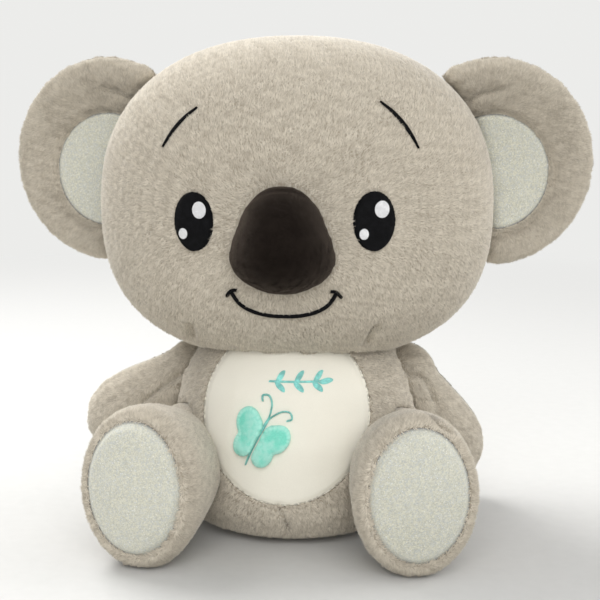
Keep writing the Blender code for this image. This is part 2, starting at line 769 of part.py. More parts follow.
def make_ears():
    """Sew the left ear, and the right one as its mirror image."""
    shell = cut(ear_form("left", 0.0, EAR_SEGMENTS), ear_form("left", PLUSH, EAR_INNER_SEGMENTS))
    layers = {
        "ear_patch": (kept_inside(shell, ear_column("left", -CLEARANCE)), "silver"),
        "ear_skin": (cut(shell, ear_column("left", 0.0)), "plush"),
        "ear_wadding": (ear_form("left", PLUSH + CLEARANCE, EAR_INNER_SEGMENTS), "fibre"),
    }
    for name, (mesh, look) in layers.items():
        for side, sign in SIDES.items():
            piece(f"{side}_{name}", moved(mesh, Matrix.Diagonal((sign, 1, 1, 1))), look)


def make_butterfly():
    centre = (BUTTERFLY_OUT, BODY_LOW + BUTTERFLY_RISE)
    wing = [(WING_TO_BODY + across * (WING_SPAN - WING_TO_BODY), up * WING_LENGTH) for across, up in WING_SHARES]
    wing = smooth_path(wing, SHORT_CURVE_PARTS, closed=True)
    for side, flip in SIDES.items():
        column = prism(wing, centre, BUTTERFLY_TILT, flip)
        piece(f"{side}_wing", patch_on(body_barrel, column, CLEARANCE, WING_PAD), "mint")
    half = BUTTERFLY_THREAD / 2
    top, tail = BUTTERFLY_FRONT, -BUTTERFLY_TAIL
    side = [(half, top - half), (half, tail + half)]
    bodice = [(0, top + half), *side, (0, tail), *((-across, up) for across, up in reversed(side))]
    stitching = prism(bodice, centre, BUTTERFLY_TILT)
    feeler = [(across * FEELER_SPAN, top + up * FEELER_LENGTH) for across, up in FEELER_SHARES]
    line = smooth_path(feeler, CURVE_PARTS)
    for flip in SIDES.values():
        outline = stroke(line, [FEELER_THREAD] * len(line))
        stitching = joined(stitching, prism(outline, centre, BUTTERFLY_TILT, flip))
    piece("butterfly_stitching", patch_on(body_barrel, stitching, CLEARANCE, STITCH), "teal")


def make_sprig():
    """A stem with pairs of leaves and one at its tip, in a single run of satin stitch."""
    centre = (SPRIG_OUT, BODY_LOW + SPRIG_RISE)
    start, end = -SPRIG_LENGTH / 2, SPRIG_LENGTH / 2 - LEAF_LENGTH / 2
    sprig = prism(stroke([(start, 0), (0, 0), (end, 0)], [SPRIG_STEM] * 3), centre)
    leaf = oval_outline(LEAF_LENGTH, LEAF_WIDTH, LEAF_POINTS)
    spots = [(end, 0.0)]
    for pair in range(LEAF_PAIRS):
        along = start + LEAF_LENGTH / 2 + (end - start) * pair / LEAF_PAIRS
        spots += [(along, LEAF_LEAN), (along, -LEAF_LEAN)]
    for along, lean in spots:
        out = LEAF_LENGTH / 2 - SPRIG_STEM / 2 if lean else 0
        middle = (centre[0] + along + out * math.cos(lean), centre[1] + out * math.sin(lean))
        sprig = joined(sprig, prism(leaf, middle, -lean))
    piece("leaf_sprig", patch_on(body_barrel, sprig, CLEARANCE, STITCH), "teal")


def make_koala():
    make_body()
    make_head()
    make_nose()
    make_mouth()
    make_ears()
    for side in SIDES:
        make_eye(side)
        make_brow(side)
        make_arm(side)
        make_leg(side)
    make_butterfly()
    make_sprig()


make_koala()
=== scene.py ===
"""Looks of the sitting plush koala: padded forms under short plush pile, velour linings, a padded nose,
satin-stitched eyes, brows and mouth, and a padded butterfly on the tummy.

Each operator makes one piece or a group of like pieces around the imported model. Metres, +Z up. The koala
faces -Y and its own left side is at +X.
"""

import json
import math

import bmesh
import bpy
import numpy as np
from bpy.props import FloatProperty, FloatVectorProperty, IntProperty, PointerProperty
from mathutils import Matrix, Vector
from mathutils.bvhtree import BVHTree
from mathutils.kdtree import KDTree

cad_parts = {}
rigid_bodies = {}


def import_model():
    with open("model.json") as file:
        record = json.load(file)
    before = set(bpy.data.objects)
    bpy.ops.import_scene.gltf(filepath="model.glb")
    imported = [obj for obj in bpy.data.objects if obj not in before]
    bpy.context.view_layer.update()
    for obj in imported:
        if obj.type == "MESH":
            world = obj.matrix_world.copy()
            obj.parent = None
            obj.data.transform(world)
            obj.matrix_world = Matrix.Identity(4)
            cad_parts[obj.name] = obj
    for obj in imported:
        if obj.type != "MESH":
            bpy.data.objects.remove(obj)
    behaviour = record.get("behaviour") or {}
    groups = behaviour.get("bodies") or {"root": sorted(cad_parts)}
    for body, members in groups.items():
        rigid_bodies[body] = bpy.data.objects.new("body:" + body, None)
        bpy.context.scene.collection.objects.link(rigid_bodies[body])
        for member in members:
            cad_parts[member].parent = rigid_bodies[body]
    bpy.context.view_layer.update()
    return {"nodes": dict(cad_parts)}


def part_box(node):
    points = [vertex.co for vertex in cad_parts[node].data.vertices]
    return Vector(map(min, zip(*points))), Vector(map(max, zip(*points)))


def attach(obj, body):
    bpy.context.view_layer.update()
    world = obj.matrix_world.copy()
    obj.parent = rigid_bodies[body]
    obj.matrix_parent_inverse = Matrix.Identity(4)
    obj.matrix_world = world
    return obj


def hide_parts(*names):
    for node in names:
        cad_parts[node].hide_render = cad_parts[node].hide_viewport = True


bl_info = {
    "name": "Plush Koala Looks",
    "version": (1, 0, 0),
    "blender": (4, 5, 0),
    "location": "3D View > Sidebar > Koala",
    "description": "Dresses the packed koala in padded plush, pile and stitching",
    "category": "Object",
}

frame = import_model()

SIDES = {"left": 1, "right": -1}

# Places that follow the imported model
HEAD_MIDDLE = Vector((0.0, 0.0, 0.266))
TUMMY_MIDDLE = Vector((-0.002, -0.06, 0.104))
HIP = Vector((0.08346, -0.04532, 0.0615))
LEG_REACH = 0.128
LEG_SPLAY = {"left": math.radians(10.5), "right": math.radians(12)}
EAR_MIDDLE = Vector((0.16, 0.035, 0.298))
EAR_YAW = math.radians(14)
LINING_DROP = 0.008
SOLE_RISE = 0.003
FACE_FRONT = -0.2
EYE_OUT = 0.0685
EYE_RISE = {"left": 0.2636, "right": 0.262}
EYE_HALF_WIDTH = 0.0155
EYE_HALF_HEIGHT = 0.0225
BROW_TOP = {"left": (0.0715, 0.0855), "right": (0.068, 0.0808)}
BROW_SIZE = {"left": (0.0295, 0.035), "right": (0.0265, 0.03)}
BROW_WIDTH = 0.003
BROW_SHARES = ((0.0, 1.0, 0.3), (0.3, 0.81, 0.85), (0.61, 0.53, 1.0), (0.85, 0.24, 0.8), (1.0, 0.0, 0.35))
MOUTH_HALF_WIDTH = 0.0405
MOUTH_DEPTH = 0.0193
MOUTH_LOW = 0.189
MOUTH_THREAD = 0.003
SMILE_SHARES = ((0.0, 0.0), (0.3, 0.03), (0.6, 0.19), (0.84, 0.5), (1.0, 1.0))
TICK_SHARES = ((0.885, 1.075), (1.0, 1.03), (1.09, 0.8))
TICK_WIDTH_SHARE = 0.87

# The lights on an eye: half width, and place as shares of the eye's width and height
EYE_LIGHTS = {"upper": (0.0053, 0.17, 0.2), "lower": (0.0034, -0.25, -0.21)}
EYE_LEAN = 0.12
LIGHT_LEAN = 0.6

# How far threads lie over the fabric, so that they stand out of the pile round them
EYE_LIFT = 0.0024
LIGHT_LIFT = 0.003
BROW_LIFT = 0.0022
MOUTH_LIFT = 0.0028
BUTTERFLY_LIFT = 0.0022
SPRIG_LIFT = 0.0008

# Stuffing: how long and how hard the fabric is blown out, and how far the fabric then lies outside the solids
STUFFING_STEPS = 20
STUFFING_PRESSURE = 4
FABRIC_OUTSET = 0.0012
WING_OUTSET = 0.0007

# Fabric this near another part is held while it is stuffed, and pile this near one is left out
HELD_REACH = 0.004
PILE_REACH = 0.002
ROOT_REACH = 0.001

# How many locks are strewn for each piece, before those on panels, threads and hidden places are left out
LOCKS = {
    "face": 330000,
    "crown": 270000,
    "body": 240000,
    "ear": 165000,
    "arm": 100000,
    "leg": 150000,
    "nose": 90000,
}

# Where the face's pile meets the crown's, and how far the pile is thinned beside the face's stitches
FACE_BACK = 0.01
STITCH_ROOM = 0.002

# How often a form's correction is evened out between neighbouring points, and the most that it may be
FIT_ROUNDS = 30
FIT_REACH = 0.008

# How the pile lies: turned by slow swirls, by its small tufts and by chance (radians), lifted off the fabric
# (degrees), and how far it is lit as the fabric under it is. A tuft's waves are given as radians to the metre
# with their shares. A lock starts this deep in the fabric, and a share of its length behind its root. The
# lengths and widths of locks vary between two shares.
PILE_SWIRL = 0.4
PILE_TUFTS = ((700, 0.5), (1200, 0.5))
PILE_TUFT_TURN = 0.5
PILE_STRAY = 0.25
PILE_LIFT = 17
PILE_LIFT_TUFTS = 8
PILE_LIFT_STRAY = 5
PILE_SOFTNESS = 0.3
PILE_ROOT = 0.0004
PILE_SETBACK = 0.15
LOCK_LENGTHS = (0.7, 1.25)
LOCK_WIDTHS = (0.7, 1.3)
FLOOR_GAP = 0.0003

# Pile near the toy's outline is combed round it, so that its locks lie like tiles on the front and the back
OUTLINE_AXIS = (0, -1, 0)
OUTLINE_COMB = 0.9
OUTLINE_LIFT = 0.4
OUTLINE_BEHIND = 0.25
OUTLINE_BLEND = 0.1

# Sewn lines, as points in the toy's own metres
ARM_SEAMS = {
    "right": (
        (-0.086, -0.012, 0.127), (-0.0953, -0.0139, 0.1207), (-0.1165, -0.0135, 0.1069),
        (-0.1319, -0.0147, 0.093), (-0.142, -0.012, 0.08),
    ),
    "left": (
        (0.0964, -0.0143, 0.123), (0.104, -0.0105, 0.1205), (0.109, -0.0078, 0.1165),
        (0.113, -0.0055, 0.109), (0.1151, -0.0038, 0.1027), (0.1186, -0.0043, 0.0942),
    ),
}
CHIN_DARTS = (
    ((-0.0775, -0.0855, 0.174), (-0.0782, -0.0805, 0.1706), (-0.0792, -0.0672, 0.1614)),
    ((0.0705, -0.0905, 0.176), (0.0681, -0.0867, 0.172), (0.0651, -0.0817, 0.1661), (0.063, -0.0755, 0.1607)),
)
BELLY_SEAM = ((-0.005, -0.112, 0.036), (0.001, -0.11, 0.022), (0.003, -0.104, 0.008), (0.004, -0.1, 0.0))
FOOT_SEAM = (
    (0.112, -0.13, 0.1235), (0.1145, -0.142, 0.1225), (0.1157, -0.1498, 0.1209),
    (0.1208, -0.155, 0.1173), (0.1276, -0.1528, 0.1121),
)
LEG_SEAMS = {"left": (FOOT_SEAM,), "right": ()}
EAR_TUCK = ((0.1425, 0.0125, 0.349), (0.1531, 0.0132, 0.3531), (0.1646, 0.0156, 0.3555))
NOSE_SEAM_SHARE = 0.93

# How deep each sewn valley is and how wide its slope, how far the painted shade in it reaches, and how
# far the pile is thinned beside it
TUMMY_VALLEY = (0.0018, 0.0022)
BELLY_VALLEY = (0.003, 0.0028)
CHIN_VALLEY = (0.006, 0.004)
LINING_VALLEY = (0.0022, 0.0022)
TUCK_VALLEY = (0.003, 0.004)
ARM_VALLEY = (0.0045, 0.003)
SOLE_VALLEY = (0.0024, 0.0024)
LEG_VALLEY = (0.0095, 0.0034)
NOSE_VALLEY = (0.0004, 0.0011)
SEAM_SHADE = 0.0013
PANEL_SHADE = 0.0014
TUMMY_SHADE = 0.0017
SEAM_BARE = 0.0005
SEAM_THINNEST = 0.03
SEAM_GAP = 0.004
LEG_SEAM_GAP = 0.009

# The butterfly and the sprig, on the (x, z) plane. A line of thread is as wide as its shares say along it.
STITCH_PITCH = 0.86
BUTTERFLY_MIDDLE = (-0.0165, 0.095)
BUTTERFLY_TILT = math.radians(27)
BUTTERFLY_SHIFT = -0.0014
WING_SCALE = 0.94
WING_SHIFT = -0.0017
WING_ROUNDING = 0.005
WING_SWELL = 0.0012
FEELER_START = 0.0105
FEELER_SPREAD = math.radians(9)
FEELER_SHARES = ((0.0, -0.1), (0.12, 0.32), (0.36, 0.78), (0.72, 1.0), (1.0, 0.78), (0.82, 0.52))
FEELER_SIZE = (0.0145, 0.0138)
FEELER_WIDTHS = (0.0013, 0.0018)
TRUNK = ((0, 0.012), (-0.0006, 0.003), (-0.0011, -0.009), (-0.0007, -0.02), (0.0004, -0.0305))
TRUNK_WIDTH_SHARES = (0, 0.15, 0.5, 1)
TRUNK_WIDTHS = (0.0014, 0.0024, 0.0026, 0.0012)
SPRIG_MIDDLE = (0.011, 0.132)
SPRIG_SPAN = (-0.025, 0.0195)
STEM_WIDTH = 0.0016
LEAF_PAIRS = 3
LEAF_START = 0.0055
LEAF_TURN = math.radians(48)
LEAF_OUT = 0.0047
LEAF_LENGTH = 0.011
LEAF_WIDTH = 0.005

# Each thread's colour, how strong it and its lights are, its roughness and its gloss
THREADS = {
    "black_stitch": ("black", 1.0, 2.2, 0.7, 0.1),
    "pale_stitch": ("white", 0.85, 1.1, 0.45, 0.5),
    "teal_stitch": ("teal", 0.8, 1.5, 0.45, 0.5),
}

# The stage: each lamp's place, aim, size and power, and the camera, a little to the side and above
BACKDROP = (0.84, 0.84, 0.825, 1)
FLOOR_SHADES = ((0.6, 0.595, 0.575, 1), (0.64, 0.635, 0.615, 1))
ROOM_LIGHT = (0.97, 0.98, 1.0, 1)
ROOM_POWER = 0.6
LAMPS = {
    "window": ((-0.9, 0.75, 1.5), (0, 0, 0.25), 1.1, 36),
    "front": ((0.2, -1.7, 1.2), (0, 0, 0.17), 1.4, 18.5),
    "side": ((1.4, 0.3, 0.8), (0, 0, 0.2), 0.9, 8),
}
CAMERA_AIM = (0.0025, 0, 0.182)
CAMERA_AZIMUTH = math.radians(5)
CAMERA_RISE = math.radians(10)
CAMERA_AWAY = 1.2
CAMERA_LENS = 85


def length_property(name, description, default):
    return FloatProperty(name=name, description=description, default=default, unit="LENGTH")


def colour_property(name, description, default):
    return FloatVectorProperty(name=name, description=description, default=default, subtype="COLOR")


class PlushSizes(bpy.types.PropertyGroup):
    """Sizes of the fabrics and the sewing."""

    pile_length: length_property("Pile Length", "How long the plush pile is", 0.0046)
    pile_width: length_property("Lock Width", "How wide one lock of pile is", 0.0012)
    weave: length_property("Working Grid", "Spacing of the fabric's working grid", 0.0046)
    puff: length_property("Puff", "How far the stuffing may push the fabric out", 0.004)
    thread: length_property("Thread", "Thickness of the embroidery thread", 0.00052)
    tummy_radius: length_property("Tummy Radius", "Radius of the tummy panel", 0.0675)
    lining_radius: length_property("Ear Lining Radius", "Radius of the ear linings", 0.048)
    sole_width: length_property("Sole Half Width", "Half the width of a sole", 0.038)
    sole_height: length_property("Sole Half Height", "Half the height of a sole", 0.052)
    seed: IntProperty(name="Seed", description="Start of the random numbers", default=11)


class PlushColours(bpy.types.PropertyGroup):
    """Colours of the fabrics and threads, and of the shade painted into the pile and seams."""

    pile: colour_property("Pile", "Middle colour of the plush", (0.435, 0.388, 0.312))
    pile_light: colour_property("Pile Tips", "Colour of the pile's tips", (0.685, 0.625, 0.52))
    # Painted shade: the colour deep in the pile, between the locks and at their roots, also used for painted
    # shade in seams.
    pile_dark: colour_property("Pile Roots", "Colour between the locks", (0.29, 0.243, 0.183))
    silver: colour_property("Lining", "Colour of the soles and ear linings", (0.63, 0.622, 0.515))
    cream: colour_property("Tummy", "Colour of the tummy panel", (0.905, 0.87, 0.755))
    nose: colour_property("Nose", "Colour of the nose plush", (0.0115, 0.0088, 0.0072))
    black: colour_property("Black Thread", "Colour of eyes, brows and mouth", (0.0035, 0.0035, 0.004))
    white: colour_property("Pale Thread", "Colour of the eye lights", (0.8, 0.8, 0.8))
    mint: colour_property("Mint", "Colour of the butterfly's wings", (0.2, 0.72, 0.56))
    teal: colour_property("Teal Thread", "Colour of the butterfly's body and the sprig", (0.26, 0.66, 0.61))


def sizes():
    return bpy.context.scene.plush_sizes


def colours():
    return bpy.context.scene.plush_colours


# Working with objects


def drop_selection():
    """Leave nothing selected, so that an operator acts only on what is picked next."""
    for obj in bpy.context.view_layer.objects:
        obj.select_set(False)


def pick(obj):
    drop_selection()
    obj.select_set(True)
    bpy.context.view_layer.objects.active = obj
    return obj


def settle(obj):
    """Put the object's place into its mesh."""
    pick(obj)
    bpy.ops.object.transform_apply(location=True, rotation=True, scale=True)
    return obj


def finish_modifier(obj, kind, **values):
    """Add one modifier with these values and apply it."""
    pick(obj)
    modifier = obj.modifiers.new(kind.lower(), kind)
    for name, value in values.items():
        setattr(modifier, name, value)
    bpy.ops.object.modifier_apply(modifier=modifier.name)


def copy_of(name, *nodes):
    """A new object with the meshes of some CAD nodes together."""
    bm = bmesh.new()
    for node in nodes:
        bm.from_mesh(frame["nodes"][node].data)
    mesh = bpy.data.meshes.new(name)
    bm.to_mesh(mesh)
    bm.free()
    obj = bpy.data.objects.new(name, mesh)
    bpy.context.scene.collection.objects.link(obj)
    return obj


def object_from(name, verts, faces):
    mesh = bpy.data.meshes.new(name)
    mesh.from_pydata([tuple(v) for v in verts], [], faces)
    mesh.update()
    obj = bpy.data.objects.new(name, mesh)
    bpy.context.scene.collection.objects.link(obj)
    return obj


def tree_of(*objects):
    """One search tree over the meshes of some objects."""
    verts, faces = [], []
    for obj in objects:
        start = len(verts)
        verts += [v.co.copy() for v in obj.data.vertices]
        faces += [[start + i for i in p.vertices] for p in obj.data.polygons]
    return BVHTree.FromPolygons(verts, faces)


def positions(mesh):
    co = np.empty(len(mesh.vertices) * 3)
    mesh.vertices.foreach_get("co", co)
    return co.reshape(-1, 3)


def set_positions(mesh, co):
    mesh.vertices.foreach_set("co", np.asarray(co, float).ravel())
    mesh.update()


def normals(mesh):
    no = np.empty(len(mesh.vertices) * 3)
    mesh.vertex_normals.foreach_get("vector", no)
    return no.reshape(-1, 3)


def wear(obj, body, material, slot, *nodes, fill=None):
    """Finish a piece: its material, the body it rides on, and the CAD nodes it stands for. Its slot is not
    used.

    fill, how full a padded piece is, is not used.
    """
    obj.data.materials.clear()
    obj.data.materials.append(material_named(material))
    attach(obj, body)
    if nodes:
        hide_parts(*nodes)


# Stuffing


def dense(points, spacing=0.0006):
    """Points closely along a broken line."""
    line = []
    for a, b in zip(points, points[1:]):
        a, b = Vector(a), Vector(b)
        count = max(1, int((b - a).length / spacing))
        line += [a.lerp(b, i / count) for i in range(count)]
    return line + [Vector(points[-1])]


def seam_distance(co, seams):
    """How far each position is from the nearest sewn line."""
    points = [p for seam in seams for p in dense(seam)]
    if not points:
        return np.ones(len(co))
    tree = KDTree(len(points))
    for i, p in enumerate(points):
        tree.insert(p, i)
    tree.balance()
    return np.array([tree.find(c)[2] for c in co])


def stuff(obj, held, cap):
    """Blow the fabric out like stuffing does, with the held points kept in place."""
    before = positions(obj.data)
    group = obj.vertex_groups.new(name="held")
    group.add([int(i) for i in np.nonzero(held)[0]], 1.0, "REPLACE")
    pick(obj)
    cloth = obj.modifiers.new("stuffing", "CLOTH")
    cloth.settings.quality = 4
    cloth.settings.use_pressure = True
    cloth.settings.uniform_pressure_force = STUFFING_PRESSURE
    cloth.settings.vertex_group_mass = "held"
    cloth.settings.effector_weights.gravity = 0
    cloth.collision_settings.use_collision = False
    cloth.point_cache.frame_start = 1
    cloth.point_cache.frame_end = STUFFING_STEPS
    for number in range(1, STUFFING_STEPS + 1):
        bpy.context.scene.frame_set(number)
    bpy.ops.object.modifier_apply(modifier=cloth.name)
    bpy.context.scene.frame_set(1)
    obj.vertex_groups.clear()
    after = positions(obj.data)
    step = after - before
    length = np.linalg.norm(step, axis=1, keepdims=True)
    set_positions(obj.data, before + step * np.minimum(1, cap / np.maximum(length, 1e-9)))


def form(name, nodes, grid=None, smooth=6):
    """The closed outer form of a stuffed part, from its CAD solids, on an even grid."""
    obj = copy_of(name, *nodes)
    finish_modifier(obj, "REMESH", mode="VOXEL", voxel_size=grid or sizes().weave)
    keep_largest(obj)
    finish_modifier(obj, "SMOOTH", factor=0.5, iterations=smooth)
    return obj


def fit_over(obj, *nodes, outset=0.0, rounds=FIT_ROUNDS):
    """Bring a stuffed form back over its CAD solids: its fabric lies about this far outside them."""
    tree = tree_of(*(frame["nodes"][n] for n in nodes))
    co, no = positions(obj.data), normals(obj.data)
    gap = np.zeros(len(co))
    for i, (place, normal) in enumerate(zip(map(Vector, co), map(Vector, no))):
        hit, face, _, distance = tree.ray_cast(place + normal * FIT_REACH, -normal, 2 * FIT_REACH)
        if hit is not None and face.dot(normal) > 0.3:
            gap[i] = FIT_REACH - distance + outset
    ends = np.empty(len(obj.data.edges) * 2, int)
    obj.data.edges.foreach_get("vertices", ends)
    one, two = ends.reshape(-1, 2).T
    number = np.maximum(np.bincount(one, minlength=len(co)) + np.bincount(two, minlength=len(co)), 1)
    for _ in range(rounds):
        around = np.bincount(one, gap[two], len(co)) + np.bincount(two, gap[one], len(co))
        gap = (gap + around / number) / 2
    set_positions(obj.data, co + no * gap[:, None])


def keep_largest(obj):
    """Drop the loose bits that the grid closes off inside a form."""
    bm = bmesh.new()
    bm.from_mesh(obj.data)
    bm.verts.ensure_lookup_table()
    seen, best = set(), []
    for vert in bm.verts:
        if vert.index in seen:
            continue
        seen.add(vert.index)
        island, queue = [], [vert]
        while queue:
            v = queue.pop()
            island.append(v)
            for edge in v.link_edges:
                other = edge.other_vert(v)
                if other.index not in seen:
                    seen.add(other.index)
                    queue.append(other)
        if len(island) > len(best):
            best = island
    kept = set(best)
    bmesh.ops.delete(bm, geom=[v for v in bm.verts if v not in kept], context="VERTS")
    bmesh.ops.recalc_face_normals(bm, faces=bm.faces)
    bm.to_mesh(obj.data)
    bm.free()


def stuffed(name, nodes, over, held=None, cap=0.0, grid=None, first_smooth=6, last_smooth=0, **fit):
    """A stuffed form from its CAD nodes: blown out up to the cap but where it is held, fitted over some of
    the nodes and smoothed. held is a test that takes the form's positions.
    """
    obj = form(name, nodes, grid, first_smooth)
    if held:
        stuff(obj, held(positions(obj.data)), cap)
    finish_modifier(obj, "SUBSURF", levels=1, render_levels=1)
    fit_over(obj, *over, **fit)
    if last_smooth:
        finish_modifier(obj, "SMOOTH", factor=0.5, iterations=last_smooth)
    return obj


def pull_in(obj, away, valley, share=1.0):
    """Sew a valley where the distance array is near zero."""
    depth, width = valley
    pull = depth * share * np.exp(-((away / width) ** 2))
    set_positions(obj.data, positions(obj.data) - normals(obj.data) * pull[:, None])


def sew(obj, seams, valley):
    """Sew lines into a stuffed form: a valley along each, and painted shade in it."""
    away = seam_distance(positions(obj.data), seams)
    pull_in(obj, away, valley)
    mark_edge(obj, away, SEAM_SHADE)


def sewn_gap(root, seams, width=SEAM_GAP):
    """Less pile along a sewn line: hardly any on it and all of it this far away."""
    return np.clip((seam_distance(root, seams) - SEAM_BARE) / width, SEAM_THINNEST, 1)


def level_seat(obj):
    """Press the underside flat on what the toy sits on."""
    co = positions(obj.data)
    co[:, 2] = np.maximum(co[:, 2], 0.0)
    set_positions(obj.data, co)


# Panels


def mark_edge(obj, away, width=PANEL_SHADE):
    """Keep how near each point is to a sewn edge or line, for the painted shade along seams and edges and the
    wing's paler edge.
    """
    values = np.repeat(np.exp(-((away / width) ** 2))[:, None], 4, axis=1)
    attributes = obj.data.color_attributes
    kept = attributes.get("sewn_edge") or attributes.new("sewn_edge", "FLOAT_COLOR", "POINT")
    kept.data.foreach_set("color", values.ravel())


def in_place(matrix):
    """A function that gives positions in this place's own axes."""
    back = np.array(matrix.inverted())

    def own(co):
        return co @ back[:3, :3].T + back[:3, 3]

    return own


def column(name, matrix, radius, start, end, oval=1.0):
    """A round or oval column along its own Z, for cutting a panel out of a form."""
    drop_selection()
    bpy.ops.mesh.primitive_cylinder_add(vertices=128, radius=1, depth=1)
    obj = bpy.context.object
    obj.name = name
    size = Matrix.Diagonal((radius, radius * oval, end - start, 1))
    shape = Matrix.Translation((0, 0, (start + end) / 2)) @ size
    obj.matrix_world = matrix @ shape
    return settle(obj)


def split_panel(obj, cutter, name):
    """Cut a panel out of a form along the column's wall. Returns the panel, a closed pad."""
    inner = obj.copy()
    inner.data = obj.data.copy()
    inner.name = name
    bpy.context.scene.collection.objects.link(inner)
    finish_modifier(inner, "BOOLEAN", operation="INTERSECT", object=cutter, solver="MANIFOLD")
    finish_modifier(obj, "BOOLEAN", operation="DIFFERENCE", object=cutter, solver="MANIFOLD")
    if not inner.data.polygons or not obj.data.polygons:
        raise RuntimeError(f"{name} could not be cut out of {obj.name}")
    bpy.data.objects.remove(cutter)
    return inner


def smooth_shade(obj, angle=50):
    pick(obj)
    bpy.ops.object.shade_smooth_by_angle(angle=math.radians(angle))


# Pile


def swirl(co, seed, octaves=((38, 0.5), (75, 0.3), (160, 0.2))):
    """A slow wandering value in -1..1 over space, without any texture."""
    rng = np.random.default_rng(seed)
    total = np.zeros(len(co))
    for octave, share in octaves:
        for _ in range(3):
            k = rng.normal(size=3)
            k *= octave / np.linalg.norm(k)
            total += share / 3 * np.sin(co @ k + rng.uniform(0, math.tau)) * 1.7
    return np.clip(total, -1, 1)


def comb_down(root, up):
    """A combing rule: pile that lies down and a little outwards."""
    way = np.zeros_like(root)
    way[:, 2] = -1.0
    way[:, 0] = np.sign(root[:, 0]) * 0.25
    return way


def comb_to_ends(root, up):
    """The head's combing rule: up above its middle and down below it, and sideways across the face."""
    way = np.zeros_like(root)
    way[:, 2] = np.clip((root[:, 2] - HEAD_MIDDLE.z) / 0.04, -1, 1)
    way[:, 0] = np.sign(root[:, 0]) * np.exp(-(((root[:, 2] - HEAD_MIDDLE.z) / 0.06) ** 2)) * (root[:, 1] < 0)
    near_top = np.clip((up[:, 2] - 0.6) / 0.3, 0, 1)
    way[:, :2] -= root[:, :2] * (near_top * 8)[:, None]
    return way


def comb_to(point):
    """A combing rule: pile that lies towards a point and a little downwards."""

    def comb(root, up):
        way = np.array(point) - root
        way[:, 2] -= 0.02
        return way

    return comb


def comb_round(centre):
    """A combing rule: pile that lies away from a centre and a little downwards."""

    def comb(root, up):
        way = root - np.array(centre)
        way[:, 2] -= 0.03
        return way

    return comb


def scatter(mesh, count, share_at, rng):
    """Places on a mesh for locks of pile: their roots, the fabric's way up there and their share of pile."""
    mesh.calc_loop_triangles()
    corners = np.empty(len(mesh.loop_triangles) * 3, int)
    mesh.loop_triangles.foreach_get("vertices", corners)
    corners = corners.reshape(-1, 3)
    co, no = positions(mesh), normals(mesh)
    a, b, c = (co[corners[:, i]] for i in range(3))
    area = np.linalg.norm(np.cross(b - a, c - a), axis=1)
    chosen = corners[rng.choice(len(corners), size=count, p=area / area.sum())]
    weights = rng.dirichlet((1, 1, 1), count)
    root = (co[chosen] * weights[:, :, None]).sum(1)
    up = (no[chosen] * weights[:, :, None]).sum(1)
    up /= np.linalg.norm(up, axis=1, keepdims=True)
    share = np.minimum(share_at(root, up), 1)
    keep = rng.random(count) < share
    return root[keep], up[keep], share[keep]


def evened(way):
    """The same directions, each of length 1."""
    return way / np.maximum(np.linalg.norm(way, axis=1, keepdims=True), 1e-6)


def grow_pile(name, surface, count, share_at, comb, length=1.0, seed=0):
    """Short locks of pile over a surface, each one slim pointed leaf, with their own map and tip values."""
    s = sizes()
    rng = np.random.default_rng(s.seed + seed)
    root, up, share = scatter(surface.data, count, share_at, rng)
    n = len(root)
    axis = np.array(OUTLINE_AXIS)
    faces_front = up @ axis
    way = evened(comb(root, up))
    way = way - np.clip((faces_front + OUTLINE_BEHIND) / OUTLINE_BLEND, -1, 1)[:, None] * axis * OUTLINE_COMB
    way = evened(way - up * (way * up).sum(1, keepdims=True))
    side = np.cross(up, way)
    tuft = swirl(root, s.seed + 3, PILE_TUFTS)
    turn = PILE_SWIRL * swirl(root, s.seed + 1) + PILE_TUFT_TURN * tuft + rng.normal(0, PILE_STRAY, n)
    turn = (turn * np.clip(0.3 + np.abs(faces_front), 0, 1))[:, None]
    way, side = way * np.cos(turn) + side * np.sin(turn), side * np.cos(turn) - way * np.sin(turn)
    size = length * s.pile_length * rng.uniform(*LOCK_LENGTHS, n) * (0.3 + 0.7 * share)
    half = side * (s.pile_width / 2 * rng.uniform(*LOCK_WIDTHS, n))[:, None]
    tufted = PILE_LIFT_TUFTS * swirl(root, s.seed + 4, PILE_TUFTS)
    lift = PILE_LIFT + tufted + rng.normal(0, PILE_LIFT_STRAY, n)
    lift = np.radians(lift * np.clip(OUTLINE_LIFT + 1.4 * np.abs(faces_front), 0, 1))[:, None]
    start = root - up * PILE_ROOT - way * (PILE_SETBACK * size)[:, None]
    tip = start + (way * np.cos(lift) + up * np.sin(lift)) * size[:, None]
    verts = np.stack([start + half, start - half, tip], 1).reshape(-1, 3)
    verts[:, 2] = np.maximum(verts[:, 2], FLOOR_GAP)
    luck = np.repeat(np.clip(0.5 + 0.38 * tuft + rng.uniform(-0.45, 0.45, n), 0, 1), 3)
    leaf = up * np.cos(lift) - way * np.sin(lift)
    soft = up * PILE_SOFTNESS + leaf * (1 - PILE_SOFTNESS)
    soft /= np.linalg.norm(soft, axis=1, keepdims=True)
    return locks_object(name, verts, luck, np.repeat(soft, 3, axis=0))


def locks_object(name, verts, luck, soft):
    """The locks' object, from three points a lock, their luck with colour and the normals that light them."""
    n = len(verts) // 3
    pile = bpy.data.meshes.new(name)
    pile.vertices.add(n * 3)
    pile.vertices.foreach_set("co", verts.ravel())
    pile.loops.add(n * 3)
    pile.loops.foreach_set("vertex_index", np.arange(n * 3, dtype=np.int32))
    pile.polygons.add(n)
    pile.polygons.foreach_set("loop_start", np.arange(n, dtype=np.int32) * 3)
    pile.polygons.foreach_set("use_smooth", np.ones(n, bool))
    pile.update(calc_edges=True)
    lay_map(pile, n)
    values = np.stack([np.tile([0.0, 0.0, 1.0], n), luck, luck, np.ones(n * 3)], 1)
    pile.color_attributes.new("lock", "FLOAT_COLOR", "POINT").data.foreach_set("color", values.ravel())
    pile.normals_split_custom_set_from_vertices(soft.tolist())
    obj = bpy.data.objects.new(name, pile)
    bpy.context.scene.collection.objects.link(obj)
    return obj


